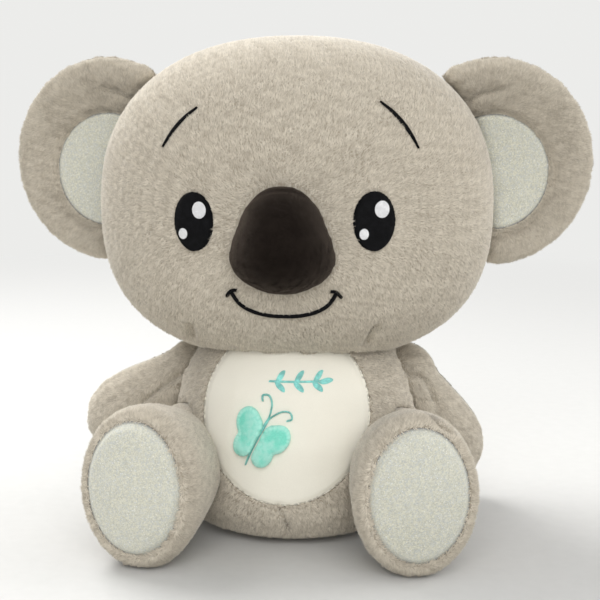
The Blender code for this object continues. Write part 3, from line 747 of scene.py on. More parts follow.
def lay_map(mesh, count):
    """Give each lock its own small cell in the map that the colours are read through."""
    across = math.ceil(math.sqrt(count))
    number = np.arange(count)
    cell = np.stack([number % across, number // across], 1)
    corner = np.array([[0.1, 0.1], [0.9, 0.1], [0.5, 0.9]])
    uv = (cell[:, None, :] + corner[None]) / across
    mesh.uv_layers.new(name="OFBake").data.foreach_set("uv", uv.ravel())


# Stitching


def thread_rows(name, surface, rows, lift=0.0004, steps=3, ends=0.25):
    """Satin stitch: threads side by side over a surface. Each row is (start, end) on the (x, z) plane."""
    radius = sizes().thread / 2
    turns = [math.radians(angle) for angle in (0, 60, 120, 180, 270)]
    ring = len(turns)
    verts, faces = [], []
    for a, b in rows:
        a, b = Vector((a[0], FACE_FRONT, a[1])), Vector((b[0], FACE_FRONT, b[1]))
        line = []
        for i in range(steps + 1):
            hit, normal, _, _ = surface.ray_cast(a.lerp(b, i / steps), Vector((0, 1, 0)))
            if hit is not None:
                line.append((hit + normal * lift * (ends if i in (0, steps) else 1.0), normal))
        if len(line) < 2:
            continue
        start = len(verts)
        for i, (p, normal) in enumerate(line):
            along = (line[min(i + 1, len(line) - 1)][0] - line[max(i - 1, 0)][0]).normalized()
            side = normal.cross(along).normalized()
            verts += [p + (side * math.cos(turn) + normal * math.sin(turn)) * radius for turn in turns]
        for first in range(start, len(verts) - ring, ring):
            for j in range(ring):
                k = (j + 1) % ring
                faces.append((first + j, first + k, first + ring + k, first + ring + j))
        faces.append(tuple(range(start + ring - 1, start - 1, -1)))
        faces.append(tuple(range(len(verts) - ring, len(verts))))
    obj = object_from(name, verts, faces)
    bm = bmesh.new()
    bm.from_mesh(obj.data)
    bmesh.ops.recalc_face_normals(bm, faces=bm.faces)
    bm.to_mesh(obj.data)
    bm.free()
    smooth_shade(obj, 70)
    return obj


def oval_rows(centre, half_width, half_height, lean, pitch, jitter, rng):
    """Rows of thread that fill an oval, turned by lean."""
    rows = []
    c, s = math.cos(lean), math.sin(lean)
    reach = math.hypot(half_width * s, half_height * c)
    count = int(2 * reach / pitch)
    for i in range(count + 1):
        off = -reach + 2 * reach * (i + 0.5) / (count + 1)
        # the chord of the oval along (c, s) at this offset
        px, pz = -s * off, c * off
        qa = (c / half_width) ** 2 + (s / half_height) ** 2
        qb = 2 * (px * c / half_width**2 + pz * s / half_height**2)
        qc = (px / half_width) ** 2 + (pz / half_height) ** 2 - 1
        disc = qb * qb - 4 * qa * qc
        if disc <= 0:
            continue
        t1, t2 = (-qb - math.sqrt(disc)) / (2 * qa), (-qb + math.sqrt(disc)) / (2 * qa)
        t1 -= rng.uniform(0, jitter)
        t2 += rng.uniform(0, jitter)
        rows.append([(centre[0] + px + c * t, centre[1] + pz + s * t) for t in (t1, t2)])
    return rows


def line_rows(points, widths, slant, pitch, rng, jitter=0.0001):
    """Rows of thread across a line of changing width."""
    path = np.array(points, float)
    seg = np.linalg.norm(np.diff(path, axis=0), axis=1)
    far = np.concatenate([[0], np.cumsum(seg)])
    count = int(far[-1] / pitch)
    rows = []
    for i in range(count + 1):
        d = far[-1] * i / count
        x, z = np.interp(d, far, path[:, 0]), np.interp(d, far, path[:, 1])
        w = np.interp(d, far, widths) / 2
        e = min(far[-1], d + pitch)
        ahead = np.array([np.interp(e, far, path[:, 0]) - x, np.interp(e, far, path[:, 1]) - z])
        if np.linalg.norm(ahead) < 1e-9:
            continue
        ahead /= np.linalg.norm(ahead)
        across = np.array([-ahead[1], ahead[0]])
        way = across * math.cos(slant) + ahead * math.sin(slant)
        one, two = w + rng.uniform(0, jitter), w + rng.uniform(0, jitter)
        rows.append(((x - way[0] * one, z - way[1] * one), (x + way[0] * two, z + way[1] * two)))
    return rows


def leaf_rows(middle, lean, pitch, rng):
    """Slanted threads across a pointed leaf."""
    shares = np.linspace(0, 1, 12)
    far = [(t - 0.5) * LEAF_LENGTH for t in shares]
    line = [(middle[0] + d * math.cos(lean), middle[1] + d * math.sin(lean)) for d in far]
    widths = [LEAF_WIDTH * math.sin(math.pi * t) ** 0.7 + 0.0003 for t in shares]
    return line_rows(line, widths, 0.6, pitch, rng)


def curve(points, parts=8):
    """A smooth line through the points."""
    out = []
    for i in range(len(points) - 1):
        p = [np.array(points[min(max(i + o, 0), len(points) - 1)], float) for o in (-1, 0, 1, 2)]
        first = p[2] - p[0]
        second = 2 * p[0] - 5 * p[1] + 4 * p[2] - p[3]
        third = 3 * p[1] - p[0] - 3 * p[2] + p[3]
        for k in range(parts):
            t = k / parts
            out.append(tuple((2 * p[1] + first * t + second * t * t + third * t**3) / 2))
    out.append(tuple(points[-1]))
    return out


# Materials


def new_group(name, inputs, outputs):
    """An empty shader node group with named sockets."""
    tree = bpy.data.node_groups.new(name, "ShaderNodeTree")
    for way, sockets in (("INPUT", inputs), ("OUTPUT", outputs)):
        for label, kind in sockets.items():
            tree.interface.new_socket(name=label, in_out=way, socket_type=f"NodeSocket{kind}")
    return tree, tree.nodes.new("NodeGroupInput"), tree.nodes.new("NodeGroupOutput")


def noise(tree, vector, scale, detail=3.0, roughness=0.6, distortion=0.0):
    node = tree.nodes.new("ShaderNodeTexNoise")
    node.inputs["Scale"].default_value = scale
    node.inputs["Detail"].default_value = detail
    node.inputs["Roughness"].default_value = roughness
    node.inputs["Distortion"].default_value = distortion
    tree.links.new(vector, node.inputs["Vector"])
    return node.outputs["Fac"]


def ranged(tree, value, low, high, to_low=0.0, to_high=1.0):
    node = tree.nodes.new("ShaderNodeMapRange")
    node.inputs["From Min"].default_value = low
    node.inputs["From Max"].default_value = high
    node.inputs["To Min"].default_value = to_low
    node.inputs["To Max"].default_value = to_high
    tree.links.new(value, node.inputs["Value"])
    return node.outputs["Result"]


def give(tree, socket, value):
    """Link a socket to the value where that is another socket, or else set it."""
    if isinstance(value, bpy.types.NodeSocket):
        tree.links.new(value, socket)
    else:
        socket.default_value = value


def mixed(tree, factor, first, second):
    node = tree.nodes.new("ShaderNodeMix")
    node.data_type = "RGBA"
    for socket, value in ((0, factor), (6, first), (7, second)):
        give(tree, node.inputs[socket], value)
    return node.outputs[2]


def maths(tree, operation, first, second=0.0):
    node = tree.nodes.new("ShaderNodeMath")
    node.operation = operation
    give(tree, node.inputs[0], first)
    give(tree, node.inputs[1], second)
    return node.outputs[0]


def nap_group():
    """Plush nap: fine streaky locks with painted shade at their roots, and slow patches of light and dark
    pile.
    """
    tree, given, result = new_group(
        "plush_nap",
        {"Vector": "Vector", "Roots": "Color", "Middle": "Color", "Tips": "Color"},
        {"Colour": "Color", "Height": "Float"},
    )
    vector = given.outputs["Vector"]
    stretch = tree.nodes.new("ShaderNodeMapping")
    stretch.inputs["Scale"].default_value = (1.0, 1.0, 0.45)
    tree.links.new(vector, stretch.inputs["Vector"])
    locks = noise(tree, stretch.outputs["Vector"], 620, 4, 0.65, 0.4)
    fine = noise(tree, vector, 1900, 2, 0.6)
    slow = noise(tree, vector, 34, 3, 0.55)
    height = maths(tree, "ADD", maths(tree, "MULTIPLY", locks, 0.75), maths(tree, "MULTIPLY", fine, 0.25))
    # Painted shade in the low parts of the nap, between the locks.
    dark = mixed(tree, ranged(tree, height, 0.36, 0.56), given.outputs["Roots"], given.outputs["Middle"])
    light = mixed(tree, ranged(tree, height, 0.5, 0.72), dark, given.outputs["Tips"])
    shade = mixed(tree, ranged(tree, slow, 0.35, 0.65, 0.0, 0.22), light, given.outputs["Tips"])
    tree.links.new(shade, result.inputs["Colour"])
    tree.links.new(height, result.inputs["Height"])
    return tree


def thread_group():
    """Thread sheen: fine light and dark strands along satin stitches."""
    tree, given, result = new_group(
        "thread_strands",
        {"Vector": "Vector", "Colour": "Color", "Lights": "Color"},
        {"Colour": "Color", "Height": "Float"},
    )
    strands = noise(tree, given.outputs["Vector"], 2600, 2, 0.5)
    patches = noise(tree, given.outputs["Vector"], 220, 2, 0.5)
    both = maths(tree, "MULTIPLY", strands, patches)
    sheen = mixed(tree, ranged(tree, both, 0.18, 0.42), given.outputs["Colour"], given.outputs["Lights"])
    tree.links.new(sheen, result.inputs["Colour"])
    tree.links.new(strands, result.inputs["Height"])
    return tree


def principled(name, roughness, sheen=0.0, sheen_roughness=0.5, sheen_tint=(1, 1, 1), specular=0.3):
    """A new material with its constants set on the shader itself."""
    material = bpy.data.materials.new(name)
    material.use_nodes = True
    tree = material.node_tree
    shader = tree.nodes["Principled BSDF"]
    shader.inputs["Roughness"].default_value = roughness
    shader.inputs["Sheen Weight"].default_value = sheen
    shader.inputs["Sheen Roughness"].default_value = sheen_roughness
    shader.inputs["Sheen Tint"].default_value = (*sheen_tint, 1)
    shader.inputs["Specular IOR Level"].default_value = specular
    place = tree.nodes.new("ShaderNodeTexCoord")
    return material, tree, shader, place.outputs["Object"]


def bump(tree, shader, height, distance):
    node = tree.nodes.new("ShaderNodeBump")
    node.inputs["Distance"].default_value = distance
    node.inputs["Strength"].default_value = 1.0
    tree.links.new(height, node.inputs["Height"])
    tree.links.new(node.outputs["Normal"], shader.inputs["Normal"])


def paint(tree, shader, value):
    tree.links.new(value, shader.inputs["Base Color"])


def attribute(tree, name):
    """The values that the meshes keep under this name."""
    node = tree.nodes.new("ShaderNodeAttribute")
    node.attribute_name = name
    return node


def edge_mark(tree):
    """How near a sewn edge or line is, as mark_edge keeps it."""
    return attribute(tree, "sewn_edge").outputs["Fac"]


def use_group(tree, name, **inputs):
    node = tree.nodes.new("ShaderNodeGroup")
    node.node_tree = bpy.data.node_groups[name]
    for label, value in inputs.items():
        give(tree, node.inputs[label], value)
    return node.outputs


def colour(name, scale=1.0):
    return (*(min(1.0, c * scale) for c in getattr(colours(), name)), 1)


def nap(tree, place, roots, middle):
    return use_group(tree, "plush_nap", Vector=place, Roots=roots, Middle=middle, Tips=colour("pile_light"))


def plush_skin():
    """The plush's fabric, which shows between the locks and in the seams, with painted shade in its seams and
    deep in its nap.
    """
    material, tree, shader, place = principled("plush_skin", 0.95, 0.5, 0.5, (1, 0.98, 0.94), 0.0)
    fabric = nap(tree, place, colour("pile_dark", 1.1), colour("pile"))
    # Painted shade: the fabric turns dark in the sewn valleys.
    sewn = ranged(tree, edge_mark(tree), 0.2, 0.8, 0.0, 0.85)
    paint(tree, shader, mixed(tree, sewn, fabric["Colour"], colour("pile_dark", 0.35)))
    bump(tree, shader, fabric["Height"], 0.0012)
    return material


def plush_pile():
    """The locks: painted shade at the root, lighter towards the tip, each a little different."""
    material, tree, shader, place = principled("plush_pile", 0.9, 0.5, 0.5, (1, 0.98, 0.94), 0.0)
    fabric = nap(tree, place, colour("pile"), colour("pile", 1.08))
    split = tree.nodes.new("ShaderNodeSeparateColor")
    tree.links.new(attribute(tree, "lock").outputs["Color"], split.inputs["Color"])
    along = ranged(tree, split.outputs["Red"], 0.0, 0.6)
    # Painted shade at each lock's root.
    grown = mixed(tree, along, colour("pile_dark", 1.15), fabric["Colour"])
    luck = ranged(tree, split.outputs["Green"], 0.0, 1.0, 0.0, 0.85)
    paint(tree, shader, mixed(tree, luck, grown, colour("pile_light", 1.03)))
    return material


def sparkle_velour():
    """Silvery velour: a pale pile of warm and cool specks with small glossy flecks, their glitter a painted
    glint of near-white colour, and painted shade along its sewn edge.
    """
    material, tree, shader, place = principled("sparkle_velour", 0.6, 0.4, 0.4, (0.95, 0.97, 1.0), 0.5)
    grain = noise(tree, place, 1050, 3, 0.8)
    slow = noise(tree, place, 60, 2, 0.5)
    body = mixed(tree, ranged(tree, grain, 0.34, 0.64), colour("silver", 0.7), colour("silver", 1.16))
    specks = tree.nodes.new("ShaderNodeTexVoronoi")
    specks.inputs["Scale"].default_value = 900
    tree.links.new(place, specks.inputs["Vector"])
    tint = tree.nodes.new("ShaderNodeSeparateColor")
    tree.links.new(specks.outputs["Color"], tint.inputs["Color"])
    cool = mixed(tree, ranged(tree, tint.outputs["Red"], 0.55, 0.75, 0.0, 0.3), body, (0.5, 0.55, 0.62, 1))
    warm = mixed(tree, ranged(tree, tint.outputs["Green"], 0.6, 0.8, 0.0, 0.35), cool, (0.86, 0.83, 0.66, 1))
    tinted = mixed(tree, ranged(tree, slow, 0.35, 0.7, 0.0, 0.2), warm, (0.66, 0.67, 0.62, 1))
    # Painted shade in the seam round the pad.
    sewn = mixed(tree, ranged(tree, edge_mark(tree), 0.2, 0.9, 0.0, 0.85), tinted, (0.2, 0.2, 0.2, 1))
    # The flecks are real glossy fibres, given lower roughness; their glitter is a painted glint, near-white
    # in the colour.
    spark = ranged(tree, specks.outputs["Distance"], 0.3, 0.2)
    chosen = maths(tree, "MULTIPLY", spark, ranged(tree, tint.outputs["Blue"], 0.82, 0.87))
    paint(tree, shader, mixed(tree, chosen, sewn, (0.97, 0.98, 1.0, 1)))
    tree.links.new(ranged(tree, chosen, 0, 1, 0.68, 0.2), shader.inputs["Roughness"])
    bump(tree, shader, grain, 0.0006)
    return material


def pile_height(tree, fine, slow, slow_share):
    """The height of a short pile: its fine grain and its slow swell."""
    return maths(tree, "ADD", maths(tree, "MULTIPLY", fine, 0.4), maths(tree, "MULTIPLY", slow, slow_share))


def tummy_velour():
    """Smooth cream pile, with painted shade in broken dashes along its sewn edge."""
    material, tree, shader, place = principled("tummy_velour", 0.85, 0.35, 0.4, (1, 0.99, 0.96), 0.2)
    grain = noise(tree, place, 2400, 3, 0.6)
    slow = noise(tree, place, 45, 3, 0.5)
    body = mixed(tree, ranged(tree, grain, 0.3, 0.7), colour("cream", 0.96), colour("cream", 1.06))
    tinted = mixed(tree, ranged(tree, slow, 0.35, 0.7, 0.0, 0.4), body, colour("cream", 0.98))
    # Painted shade: dark dashes where the pile overhangs the panel's sewn edge.
    stitches = ranged(tree, noise(tree, place, 420, 2), 0.44, 0.54)
    sewn = maths(tree, "MULTIPLY", stitches, ranged(tree, edge_mark(tree), 0.35, 0.85, 0.0, 0.6))
    paint(tree, shader, mixed(tree, sewn, tinted, colour("pile_dark", 0.7)))
    bump(tree, shader, pile_height(tree, grain, slow, 0.9), 0.0006)
    return material


def nose_velour():
    """Very short dark pile that turns paler where it is seen from the side."""
    material, tree, shader, place = principled("nose_velour", 0.9, 0.4, 0.3, (0.62, 0.51, 0.42), 0.0)
    grain = noise(tree, place, 2200, 3, 0.65)
    slow = noise(tree, place, 70, 3, 0.5)
    body = mixed(tree, ranged(tree, grain, 0.35, 0.7), colour("nose", 0.6), colour("nose", 1.7))
    paint(tree, shader, mixed(tree, ranged(tree, slow, 0.42, 0.68, 0.0, 0.4), body, colour("nose", 2.0)))
    bump(tree, shader, grain, 0.0004)
    return material


def wing_satin():
    """Mint satin in slow patches, paler along the wing's edge."""
    material, tree, shader, place = principled("wing_satin", 0.55, 0.4, 0.35, (0.85, 1.0, 0.97), 0.4)
    grain = noise(tree, place, 1700, 3, 0.6)
    slow = noise(tree, place, 95, 3, 0.55)
    body = mixed(tree, ranged(tree, grain, 0.3, 0.7), colour("mint", 0.88), colour("mint", 1.12))
    patched = mixed(tree, ranged(tree, slow, 0.42, 0.6, 0.0, 0.85), body, (0.4, 0.8, 0.68, 1))
    pale = ranged(tree, edge_mark(tree), 0.72, 0.97, 0.0, 0.75)
    paint(tree, shader, mixed(tree, pale, patched, (0.46, 0.88, 0.75, 1)))
    bump(tree, shader, pile_height(tree, grain, slow, 1.6), 0.0007)
    return material


def thread_material(name):
    """Satin stitch in one colour of thread, with its lights."""
    shade, base, lights, roughness, specular = THREADS[name]
    material, tree, shader, place = principled(name, roughness, 0.0, 0.3, (1, 1, 1), specular)
    base, lights = colour(shade, base), colour(shade, lights)
    strands = use_group(tree, "thread_strands", Vector=place, Colour=base, Lights=lights)
    paint(tree, shader, strands["Colour"])
    bump(tree, shader, strands["Height"], 0.00012)
    return material


def sees_backdrop(tree):
    """1 for the rays that show the backdrop: the camera's, and those that gloss and glass send on."""
    path = tree.nodes.new("ShaderNodeLightPath")
    mirrored = maths(tree, "MAXIMUM", path.outputs["Is Glossy Ray"], path.outputs["Is Transmission Ray"])
    return maths(tree, "MAXIMUM", path.outputs["Is Camera Ray"], mirrored)


def pale_floor():
    """A matt floor that keeps the shadows near the toy and passes into the backdrop further off."""
    material, tree, shader, place = principled("pale_floor", 0.85, specular=0.2)
    grain = noise(tree, place, 90, 3, 0.5)
    paint(tree, shader, mixed(tree, grain, *FLOOR_SHADES))
    far = tree.nodes.new("ShaderNodeVectorMath")
    far.operation = "LENGTH"
    tree.links.new(place, far.inputs[0])
    backdrop = tree.nodes.new("ShaderNodeEmission")
    backdrop.inputs["Color"].default_value = BACKDROP
    choice = tree.nodes.new("ShaderNodeMixShader")
    share = maths(tree, "MULTIPLY", ranged(tree, far.outputs["Value"], 0.35, 1.6), sees_backdrop(tree))
    tree.links.new(share, choice.inputs["Fac"])
    tree.links.new(shader.outputs["BSDF"], choice.inputs[1])
    tree.links.new(backdrop.outputs["Emission"], choice.inputs[2])
    tree.links.new(choice.outputs["Shader"], tree.nodes["Material Output"].inputs["Surface"])
    return material


def material_named(name):
    """A finish of the toy, made the first time it is asked for."""
    if name in bpy.data.materials:
        return bpy.data.materials[name]
    if "plush_nap" not in bpy.data.node_groups:
        nap_group()
        thread_group()
    if name in THREADS:
        return thread_material(name)
    makers = (plush_skin, plush_pile, sparkle_velour, tummy_velour, nose_velour, wing_satin)
    return {maker.__name__: maker for maker in makers}[name]()


# Shared pile rules


def hidden_by(*nodes, reach=0.0025):
    """A test for places that touch or lie inside other CAD solids."""
    trees = [tree_of(frame["nodes"][n]) for n in nodes]

    def test(root):
        hidden = np.zeros(len(root), bool)
        for tree in trees:
            for i, p in enumerate(root):
                if hidden[i]:
                    continue
                place, normal, _, distance = tree.find_nearest(Vector(p))
                if place is None:
                    continue
                if distance < reach or (distance < 0.02 and (Vector(p) - place).dot(normal) < 0):
                    hidden[i] = True
        return hidden

    return test


def brow_line(side):
    """The brow's middle line and its widths."""
    out, rise = BROW_TOP[side]
    span, fall = BROW_SIZE[side]
    top = HEAD_MIDDLE.z + rise
    sign = SIDES[side]
    line = curve([(sign * (out + a * span), top + (u - 1) * fall, w * BROW_WIDTH) for a, u, w in BROW_SHARES])
    return [(p[0], p[1]) for p in line], [p[2] for p in line]


def mouth_place(a, u):
    return a * MOUTH_HALF_WIDTH, MOUTH_LOW + u * MOUTH_DEPTH


def smile_line():
    half = [mouth_place(a, u) for a, u in SMILE_SHARES]
    return curve([(-a, u) for a, u in half[:0:-1]] + half)


def tick_line(sign):
    return curve([mouth_place(sign * a, u) for a, u in TICK_SHARES])


def room_for_stitches(root):
    """How far each place on the face is outside the embroidery."""
    flat = root.copy()
    flat[:, 1] = 0
    ticks = [tick_line(sign) for sign in SIDES.values()]
    lines = [smile_line(), *ticks, *(brow_line(side)[0] for side in SIDES)]
    room = seam_distance(flat, [[(p[0], 0, p[1]) for p in line] for line in lines]) - MOUTH_THREAD / 2
    for side, sign in SIDES.items():
        across, up = root[:, 0] - sign * EYE_OUT, root[:, 2] - EYE_RISE[side]
        oval = np.hypot(across / EYE_HALF_WIDTH, up / EYE_HALF_HEIGHT)
        room = np.minimum(room, (oval - 1) * (EYE_HALF_WIDTH + EYE_HALF_HEIGHT) / 2)
    return np.where(root[:, 1] < -0.03, room, 1.0)


class MakeStage(bpy.types.Operator):
    """Set the floor, the lights and the camera."""

    bl_idname = "koala.stage"
    bl_label = "Stage"

    def execute(self, context):
        scene = context.scene
        scene.view_settings.view_transform = "Standard"
        drop_selection()
        bpy.ops.mesh.primitive_plane_add(size=12, location=(0, 0, -0.0005))
        floor = context.object
        floor.name = "floor"
        floor.data.materials.append(pale_floor())

        world = bpy.data.worlds.new("studio")
        scene.world = world
        world.use_nodes = True
        tree = world.node_tree
        backdrop = tree.nodes["Background"]
        backdrop.inputs["Color"].default_value = ROOM_LIGHT
        backdrop.inputs["Strength"].default_value = ROOM_POWER
        seen = tree.nodes.new("ShaderNodeBackground")
        seen.inputs["Color"].default_value = BACKDROP
        seen.inputs["Strength"].default_value = 1.0
        choice = tree.nodes.new("ShaderNodeMixShader")
        tree.links.new(sees_backdrop(tree), choice.inputs["Fac"])
        tree.links.new(backdrop.outputs["Background"], choice.inputs[1])
        tree.links.new(seen.outputs["Background"], choice.inputs[2])
        tree.links.new(choice.outputs["Shader"], tree.nodes["World Output"].inputs["Surface"])

        for name, (place, aim, size, power) in LAMPS.items():
            drop_selection()
            bpy.ops.object.light_add(type="AREA", location=place)
            lamp = context.object
            lamp.name = name
            lamp.data.size = size
            lamp.data.energy = power
            lamp.rotation_euler = (Vector(aim) - Vector(place)).to_track_quat("-Z", "Y").to_euler()

        drop_selection()
        bpy.ops.object.camera_add()
        camera = context.object
        camera.data.lens = CAMERA_LENS
        camera.data.sensor_width = 36
        turn, rise = CAMERA_AZIMUTH, CAMERA_RISE
        back = Vector((math.sin(turn) * math.cos(rise), -math.cos(turn) * math.cos(rise), math.sin(rise)))
        camera.location = Vector(CAMERA_AIM) + back * CAMERA_AWAY
        camera.rotation_euler = (-back).to_track_quat("-Z", "Y").to_euler()
        scene.camera = camera
        return {"FINISHED"}


class MakeHead(bpy.types.Operator):
    """Stuff the head and grow its pile."""

    bl_idname = "koala.head"
    bl_label = "Head"

    def execute(self, context):
        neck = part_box("body_skin")[1].z + 0.004

        def held(co):
            return (co[:, 2] < neck) & (np.hypot(co[:, 0], co[:, 1]) < 0.1)

        nodes = ("head_skin", "head_filling")
        head = stuffed("head", nodes, nodes[:1], held, sizes().puff, grid=0.0055, rounds=60)
        sew(head, CHIN_DARTS, CHIN_VALLEY)
        smooth_shade(head)
        wear(head, "head", "plush_skin", "grey_plush", *nodes, fill=0.9)
        touching = hidden_by("body_skin", "nose_cover", reach=PILE_REACH)
        ears = hidden_by("left_ear_skin", "right_ear_skin", reach=ROOT_REACH)

        def share(root, up):
            value = np.clip(room_for_stitches(root) / STITCH_ROOM, 0, 1) * sewn_gap(root, CHIN_DARTS)
            value = value * ~touching(root) * ~ears(root)
            return value * ((root[:, 1] < FACE_BACK) == front)

        for name, front in (("face", True), ("crown", False)):
            pile = grow_pile(f"{name}_pile", head, LOCKS[name], share, comb_to_ends, seed=1 + front)
            wear(pile, "head", "plush_pile", "grey_plush")
        return {"FINISHED"}


class MakeBody(bpy.types.Operator):
    """Stuff the body, sew in the tummy panel and grow the pile."""

    bl_idname = "koala.body"
    bl_label = "Body"

    def execute(self, context):
        s = sizes()
        limbs = ("left_arm_skin", "right_arm_skin", "left_leg_skin", "right_leg_skin")

        def held(co):
            return (co[:, 2] < 0.002) | hidden_by(*limbs, reach=PILE_REACH)(co)

        def rim(co):
            """How far outside the tummy panel's edge each place on the body's front is."""
            across = np.hypot(co[:, 0] - TUMMY_MIDDLE.x, co[:, 2] - TUMMY_MIDDLE.z) - s.tummy_radius
            return np.where(co[:, 1] < -0.02, across, 1.0)

        nodes = ("body_skin", "tummy_panel", "body_filling")
        body = stuffed("body", nodes, ("body_skin", "tummy_panel"), held, s.puff)
        pull_in(body, rim(positions(body.data)), TUMMY_VALLEY)
        sew(body, [BELLY_SEAM], BELLY_VALLEY)
        level_seat(body)
        place = Matrix.Translation(TUMMY_MIDDLE) @ Matrix.Rotation(math.radians(90), 4, "X")
        cutter = column("cutter", place, s.tummy_radius, start=-0.02, end=0.09)
        panel = split_panel(body, cutter, "tummy")
        smooth_shade(body)
        mark_edge(panel, rim(positions(panel.data)), TUMMY_SHADE)
        smooth_shade(panel)
        wear(body, "torso", "plush_skin", "grey_plush", "body_skin", "body_filling", fill=0.85)
        wear(panel, "torso", "tummy_velour", "cream_velour", "tummy_panel", fill=0.8)
        near = hidden_by(*limbs, "head_skin", reach=PILE_REACH)

        def share(root, up):
            value = (rim(root) > -0.0002) & (root[:, 2] > 0.003) & (root[:, 2] < 0.185) & ~near(root)
            return value * sewn_gap(root, [BELLY_SEAM])

        pile = grow_pile("body_pile", body, LOCKS["body"], share, comb_down, 0.9, seed=4)
        wear(pile, "torso", "plush_pile", "grey_plush")
        return {"FINISHED"}


class MakeEars(bpy.types.Operator):
    """Stuff the ears, line their hollows and grow their pile."""

    bl_idname = "koala.ears"
    bl_label = "Ears"

    def execute(self, context):
        for side, sign in SIDES.items():
            self.make_ear(side, sign)
        return {"FINISHED"}

    def make_ear(self, side, sign):
        s = sizes()
        skin, patch, wadding = (f"{side}_ear_{part}" for part in ("skin", "patch", "wadding"))
        centre = Vector((sign * EAR_MIDDLE.x, EAR_MIDDLE.y, EAR_MIDDLE.z - LINING_DROP))
        place = Matrix.Translation(centre) @ Matrix.Rotation(sign * EAR_YAW, 4, "Z")
        place = place @ Matrix.Rotation(math.radians(90), 4, "X")
        own = in_place(place)
        front = np.array(place.to_3x3().col[2])

        def rim(co):
            """How far outside the lining's edge each place on the ear's front is."""
            return np.where(own(co)[:, 2] > 0.002, np.hypot(*own(co)[:, :2].T) - s.lining_radius, 1.0)

        def held(co):
            return hidden_by("head_skin", reach=HELD_REACH)(co) | (np.abs(rim(co)) < 0.004)

        nodes = (skin, patch, wadding)
        ear = stuffed(
            f"{side}_ear", nodes, nodes[:2], held, cap=0.003, grid=0.0035, first_smooth=10, last_smooth=30,
            outset=FABRIC_OUTSET, rounds=120,
        )
        pull_in(ear, rim(positions(ear.data)), LINING_VALLEY)
        tuck = [[(sign * x, y, z) for x, y, z in EAR_TUCK]]
        sew(ear, tuck, TUCK_VALLEY)
        cutter = column("cutter", place, s.lining_radius, start=0.0055, end=0.06)
        lining = split_panel(ear, cutter, f"{side}_ear_lining")
        mark_edge(lining, rim(positions(lining.data)))
        smooth_shade(ear)
        smooth_shade(lining)
        wear(ear, f"{side}_ear", "plush_skin", "grey_plush", skin, wadding, fill=0.7)
        wear(lining, f"{side}_ear", "sparkle_velour", "silver_velour", patch, fill=0.5)
        at_head = hidden_by("head_skin", reach=ROOT_REACH)

        def share(root, up):
            lined = (rim(root) < -0.0006) & (up @ front > -0.2)
            return (~lined & ~at_head(root)) * (0.5 + 0.5 * sewn_gap(root, tuck))

        pile = grow_pile(f"{side}_ear_pile", ear, LOCKS["ear"], share, comb_round(centre), 1.2, seed=6 + sign)
        wear(pile, f"{side}_ear", "plush_pile", "grey_plush")


class MakeArms(bpy.types.Operator):
    """Stuff the arms, sew their long seams and grow their pile."""

    bl_idname = "koala.arms"
    bl_label = "Arms"

    def execute(self, context):
        for side, sign in SIDES.items():
            self.make_arm(side, sign)
        return {"FINISHED"}

    def make_arm(self, side, sign):
        skin, filling = f"{side}_arm_skin", f"{side}_arm_filling"
        held = hidden_by("body_skin", reach=HELD_REACH)
        arm = stuffed(
            f"{side}_arm", (skin, filling), (skin,), held, sizes().puff, grid=0.004, first_smooth=3,
            last_smooth=12, outset=FABRIC_OUTSET,
        )
        seam = [ARM_SEAMS[side]]
        sew(arm, seam, ARM_VALLEY)
        smooth_shade(arm)
        wear(arm, f"{side}_arm", "plush_skin", "grey_plush", skin, filling, fill=0.8)
        others = hidden_by("body_skin", f"{side}_leg_skin", reach=PILE_REACH)

        def share(root, up):
            return ~others(root) * sewn_gap(root, seam)

        pile = grow_pile(f"{side}_arm_pile", arm, LOCKS["arm"], share, comb_down, 1.05, seed=9 + sign)
        wear(pile, f"{side}_arm", "plush_pile", "grey_plush")


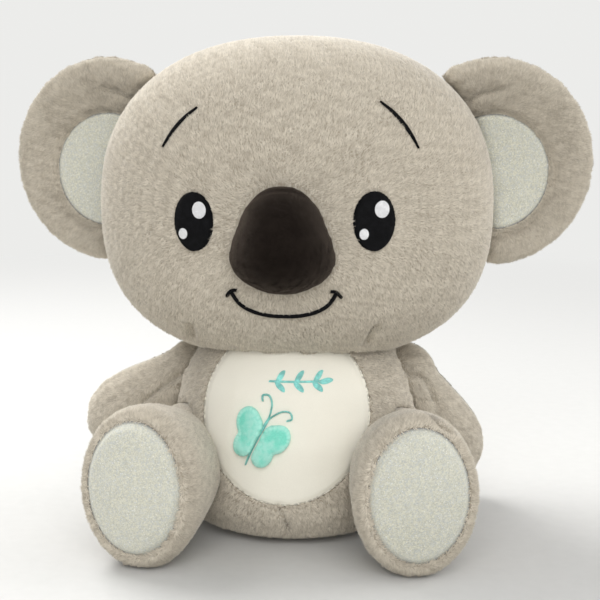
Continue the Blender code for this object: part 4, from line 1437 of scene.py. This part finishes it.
class MakeLegs(bpy.types.Operator):
    """Stuff the legs, sew in the soles and grow the pile."""

    bl_idname = "koala.legs"
    bl_label = "Legs"

    def execute(self, context):
        for side, sign in SIDES.items():
            self.make_leg(side, sign)
        return {"FINISHED"}

    def make_leg(self, side, sign):
        s = sizes()
        skin, sole_node, filling = f"{side}_leg_skin", f"{side}_sole", f"{side}_leg_filling"
        hip = Matrix.Translation((sign * HIP.x, HIP.y, HIP.z))
        place = hip @ Matrix.Rotation(sign * LEG_SPLAY[side], 4, "Z")
        place = place @ Matrix.Rotation(-math.radians(90), 4, "X") @ Matrix.Translation((0, -SOLE_RISE, 0))
        own = in_place(place)

        def rim(co):
            """How far outside the sole's edge each place on the foot's front is."""
            x, y, z = own(co).T
            away = (np.hypot(x / s.sole_width, y / s.sole_height) - 1) * (s.sole_width + s.sole_height) / 2
            return np.where(z < -LEG_REACH + 0.02, away, 1.0)

        def held(co):
            at_hip = hidden_by("body_skin", reach=HELD_REACH)(co)
            return at_hip | (co[:, 2] < 0.002) | (np.abs(rim(co)) < 0.0035)

        nodes = (skin, sole_node, filling)
        leg = stuffed(
            f"{side}_leg", nodes, nodes[:2], held, s.puff, grid=0.0042, first_smooth=8, last_smooth=25,
            outset=FABRIC_OUTSET, rounds=90,
        )
        pull_in(leg, rim(positions(leg.data)), SOLE_VALLEY)
        sew(leg, LEG_SEAMS[side], LEG_VALLEY)
        level_seat(leg)
        oval = s.sole_height / s.sole_width
        start, end = -LEG_REACH - 0.03, -LEG_REACH + 0.012
        cutter = column("cutter", place, s.sole_width, start, end, oval)
        sole = split_panel(leg, cutter, f"{side}_sole_pad")
        mark_edge(sole, rim(positions(sole.data)))
        smooth_shade(leg)
        smooth_shade(sole)
        wear(leg, f"{side}_leg", "plush_skin", "grey_plush", skin, filling, fill=0.85)
        wear(sole, f"{side}_leg", "sparkle_velour", "silver_velour", sole_node, fill=0.7)
        others = hidden_by("body_skin", f"{side}_arm_skin", reach=PILE_REACH)

        def share(root, up):
            value = (rim(root) > -0.0006) & (root[:, 2] > 0.002) & ~others(root)
            return value * sewn_gap(root, LEG_SEAMS[side], LEG_SEAM_GAP)

        comb = comb_to(hip.translation)
        pile = grow_pile(f"{side}_leg_pile", leg, LOCKS["leg"], share, comb, 1.05, seed=12 + sign)
        wear(pile, f"{side}_leg", "plush_pile", "grey_plush")


class MakeNose(bpy.types.Operator):
    """Stuff the nose in its short dark pile, with the seam that runs round its upper edge."""

    bl_idname = "koala.nose"
    bl_label = "Nose"

    def execute(self, context):
        nodes = ("nose_cover", "nose_filling")
        held = hidden_by("head_skin", reach=0.003)
        nose = stuffed(
            "nose", nodes, nodes[:1], held, cap=0.002, grid=0.003, first_smooth=5, last_smooth=22,
            outset=FABRIC_OUTSET, rounds=60,
        )
        low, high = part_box("nose_cover")
        co = positions(nose.data)
        rise = (co[:, 2] - low.z) / (high.z - low.z) * 2 - 1
        ring = (np.hypot(co[:, 0] / high.x, rise) / NOSE_SEAM_SHARE - 1) * high.x
        pull_in(nose, ring, NOSE_VALLEY, np.clip(rise / 0.5, 0, 1))
        smooth_shade(nose)
        wear(nose, "head", "nose_velour", "dark_nose_plush", *nodes, fill=0.9)
        inside = hidden_by("head_skin", reach=0.0005)

        def share(root, up):
            return ~inside(root)

        pile = grow_pile("nose_pile", nose, LOCKS["nose"], share, comb_round(HEAD_MIDDLE), 0.32, seed=15)
        wear(pile, "head", "nose_velour", "dark_nose_plush")
        return {"FINISHED"}


class MakeFace(bpy.types.Operator):
    """Stitch the eyes, their lights, the brows and the mouth."""

    bl_idname = "koala.face"
    bl_label = "Stitched Face"

    def execute(self, context):
        rng = np.random.default_rng(sizes().seed)
        surface = tree_of(bpy.data.objects["head"])
        pitch = sizes().thread * STITCH_PITCH
        for side, sign in SIDES.items():
            x, z = sign * EYE_OUT, EYE_RISE[side]
            rows = oval_rows((x, z), EYE_HALF_WIDTH, EYE_HALF_HEIGHT, EYE_LEAN * sign, pitch, 0.0005, rng)
            eye = thread_rows(f"{side}_eye_stitches", surface, rows, EYE_LIFT, steps=7)
            wear(eye, "head", "black_stitch", "black_thread", f"{side}_eye")
            for name, (size, across, up) in EYE_LIGHTS.items():
                middle = (x + across * 2 * EYE_HALF_WIDTH, z + up * 2 * EYE_HALF_HEIGHT)
                rows = oval_rows(middle, size, size * 1.2, LIGHT_LEAN, pitch, 0.0001, rng)
                light = thread_rows(f"{side}_eye_{name}_light", surface, rows, LIGHT_LIFT, steps=3, ends=0.85)
                wear(light, "head", "pale_stitch", "pale_thread", f"{side}_eye_{name}_glint")
            rows = line_rows(*brow_line(side), 0.5 * sign, pitch, rng, 0.0003)
            brow = thread_rows(f"{side}_brow_stitches", surface, rows, BROW_LIFT, steps=2)
            wear(brow, "head", "black_stitch", "black_thread", f"{side}_brow")
        smile = smile_line()
        rows = line_rows(smile, [MOUTH_THREAD] * len(smile), 0.35, pitch, rng, 0.0002)
        for sign in SIDES.values():
            tick = tick_line(sign)
            rows += line_rows(tick, [MOUTH_THREAD * TICK_WIDTH_SHARE] * len(tick), 0.35, pitch, rng, 0.0002)
        mouth = thread_rows("mouth_stitches", surface, rows, MOUTH_LIFT, steps=2)
        wear(mouth, "head", "black_stitch", "black_thread", "mouth_stitching")
        return {"FINISHED"}


class MakeButterfly(bpy.types.Operator):
    """Pad the butterfly's wings, stitch its body and feelers, and stitch the leaf sprig."""

    bl_idname = "koala.butterfly"
    bl_label = "Butterfly and Sprig"

    def execute(self, context):
        rng = np.random.default_rng(sizes().seed + 3)
        surface = tree_of(bpy.data.objects["tummy"])
        for side in SIDES:
            node = f"{side}_wing"
            wing = stuffed(f"{node}_pad", (node,), (node,), grid=0.0011, first_smooth=3, outset=WING_OUTSET)
            self.puff_up(wing, node)
            smooth_shade(wing, 60)
            wear(wing, "torso", "wing_satin", "mint_satin", node, fill=0.7)
        rows = self.butterfly_rows(rng)
        self.stitch("butterfly_stitches", surface, rows, BUTTERFLY_LIFT, "butterfly_stitching")
        self.stitch("sprig_stitches", surface, self.sprig_rows(rng), SPRIG_LIFT, "leaf_sprig")
        return {"FINISHED"}

    def puff_up(self, wing, node):
        """Round the wing towards its edge, set it to the butterfly's scale and keep how near the edge is."""
        co = positions(wing.data)
        middle = np.array((BUTTERFLY_MIDDLE[0], 0, BUTTERFLY_MIDDLE[1]))
        outer = positions(frame["nodes"][node].data)[:, (0, 2)]
        hull = outer[np.argsort(np.arctan2(*(outer - outer.mean(0)).T))]
        inside = np.array([np.min(np.hypot(*(hull - p).T)) for p in co[:, (0, 2)]])
        swell = np.sqrt(np.clip(inside / WING_ROUNDING, 0, 1))
        co[:, 1] += WING_SWELL * (1 - swell) - WING_SWELL * swell * 0.6
        mark_edge(wing, inside, WING_ROUNDING)
        shift = np.array((WING_SHIFT, 0, 0))
        scaled = middle + (co - middle) * WING_SCALE + shift
        set_positions(wing.data, np.where([True, False, True], scaled, co))

    def stitch(self, name, surface, rows, lift, node):
        stitches = thread_rows(name, surface, rows, lift, steps=2)
        wear(stitches, "torso", "teal_stitch", "teal_thread", node)

    def butterfly_rows(self, rng):
        """The threads of the butterfly's body and its two curled feelers."""
        pitch = sizes().thread * STITCH_PITCH

        def placed(points, flip=1, turn=0.0):
            """Points in the butterfly's own axes, turned about the place where the feelers start."""
            out = []
            x, z = BUTTERFLY_MIDDLE
            for a, u in points:
                a, u = flip * a, u - FEELER_START
                c, s = math.cos(turn), math.sin(turn)
                a, u = a * c + u * s, u * c - a * s + FEELER_START
                c, s = math.cos(BUTTERFLY_TILT), math.sin(BUTTERFLY_TILT)
                out.append((x + BUTTERFLY_SHIFT + a * c + u * s, z + u * c - a * s))
            return out

        line = curve(placed(TRUNK), 6)
        widths = np.interp(np.linspace(0, 1, len(line)), TRUNK_WIDTH_SHARES, TRUNK_WIDTHS)
        rows = line_rows(line, widths, 0.5, pitch, rng)
        for flip in SIDES.values():
            out, up = FEELER_SIZE
            feeler = curve([(a * out, FEELER_START + u * up) for a, u in FEELER_SHARES])
            path = placed(feeler, flip, FEELER_SPREAD)
            rows += line_rows(path, np.linspace(*FEELER_WIDTHS, len(feeler)), 0.6, pitch, rng)
        return rows

    def sprig_rows(self, rng):
        """The threads of a stem with three pairs of leaves and one at its tip."""
        pitch = sizes().thread * STITCH_PITCH
        x, z = SPRIG_MIDDLE
        start, end = SPRIG_SPAN
        stem = curve([(x + start, z), (x + end, z)], 10)
        rows = line_rows(stem, [STEM_WIDTH] * len(stem), 0.5, pitch, rng)
        leaves = [(end, 0.0)]
        for pair in range(LEAF_PAIRS):
            along = start + LEAF_START + (end - start) * pair / LEAF_PAIRS
            leaves += [(along, LEAF_TURN), (along, -LEAF_TURN)]
        for along, lean in leaves:
            out = LEAF_OUT if lean else 0
            middle = (x + along + out * math.cos(lean), z + out * math.sin(lean))
            rows += leaf_rows(middle, lean, pitch, rng)
        return rows


class KOALA_PT_panel(bpy.types.Panel):
    """Lists the koala's pieces."""

    bl_label = "Koala"
    bl_idname = "KOALA_PT_panel"
    bl_space_type = "VIEW_3D"
    bl_region_type = "UI"
    bl_category = "Koala"

    def draw(self, context):
        for group in (context.scene.plush_sizes, context.scene.plush_colours):
            for name in group.bl_rna.properties.keys():
                if name not in ("name", "rna_type"):
                    self.layout.prop(group, name)
        for operator in STEPS:
            self.layout.operator(operator.bl_idname)


STEPS = (MakeStage, MakeHead, MakeNose, MakeFace, MakeEars, MakeBody, MakeButterfly, MakeArms, MakeLegs)
CLASSES = (PlushSizes, PlushColours, *STEPS, KOALA_PT_panel)


def register():
    for item in CLASSES:
        bpy.utils.register_class(item)
    bpy.types.Scene.plush_sizes = PointerProperty(type=PlushSizes)
    bpy.types.Scene.plush_colours = PointerProperty(type=PlushColours)


def unregister():
    del bpy.types.Scene.plush_sizes
    del bpy.types.Scene.plush_colours
    for item in reversed(CLASSES):
        bpy.utils.unregister_class(item)


def main():
    register()
    for step in STEPS:
        module, name = step.bl_idname.split(".")
        getattr(getattr(bpy.ops, module), name)()


if __name__ == "__main__":
    main()
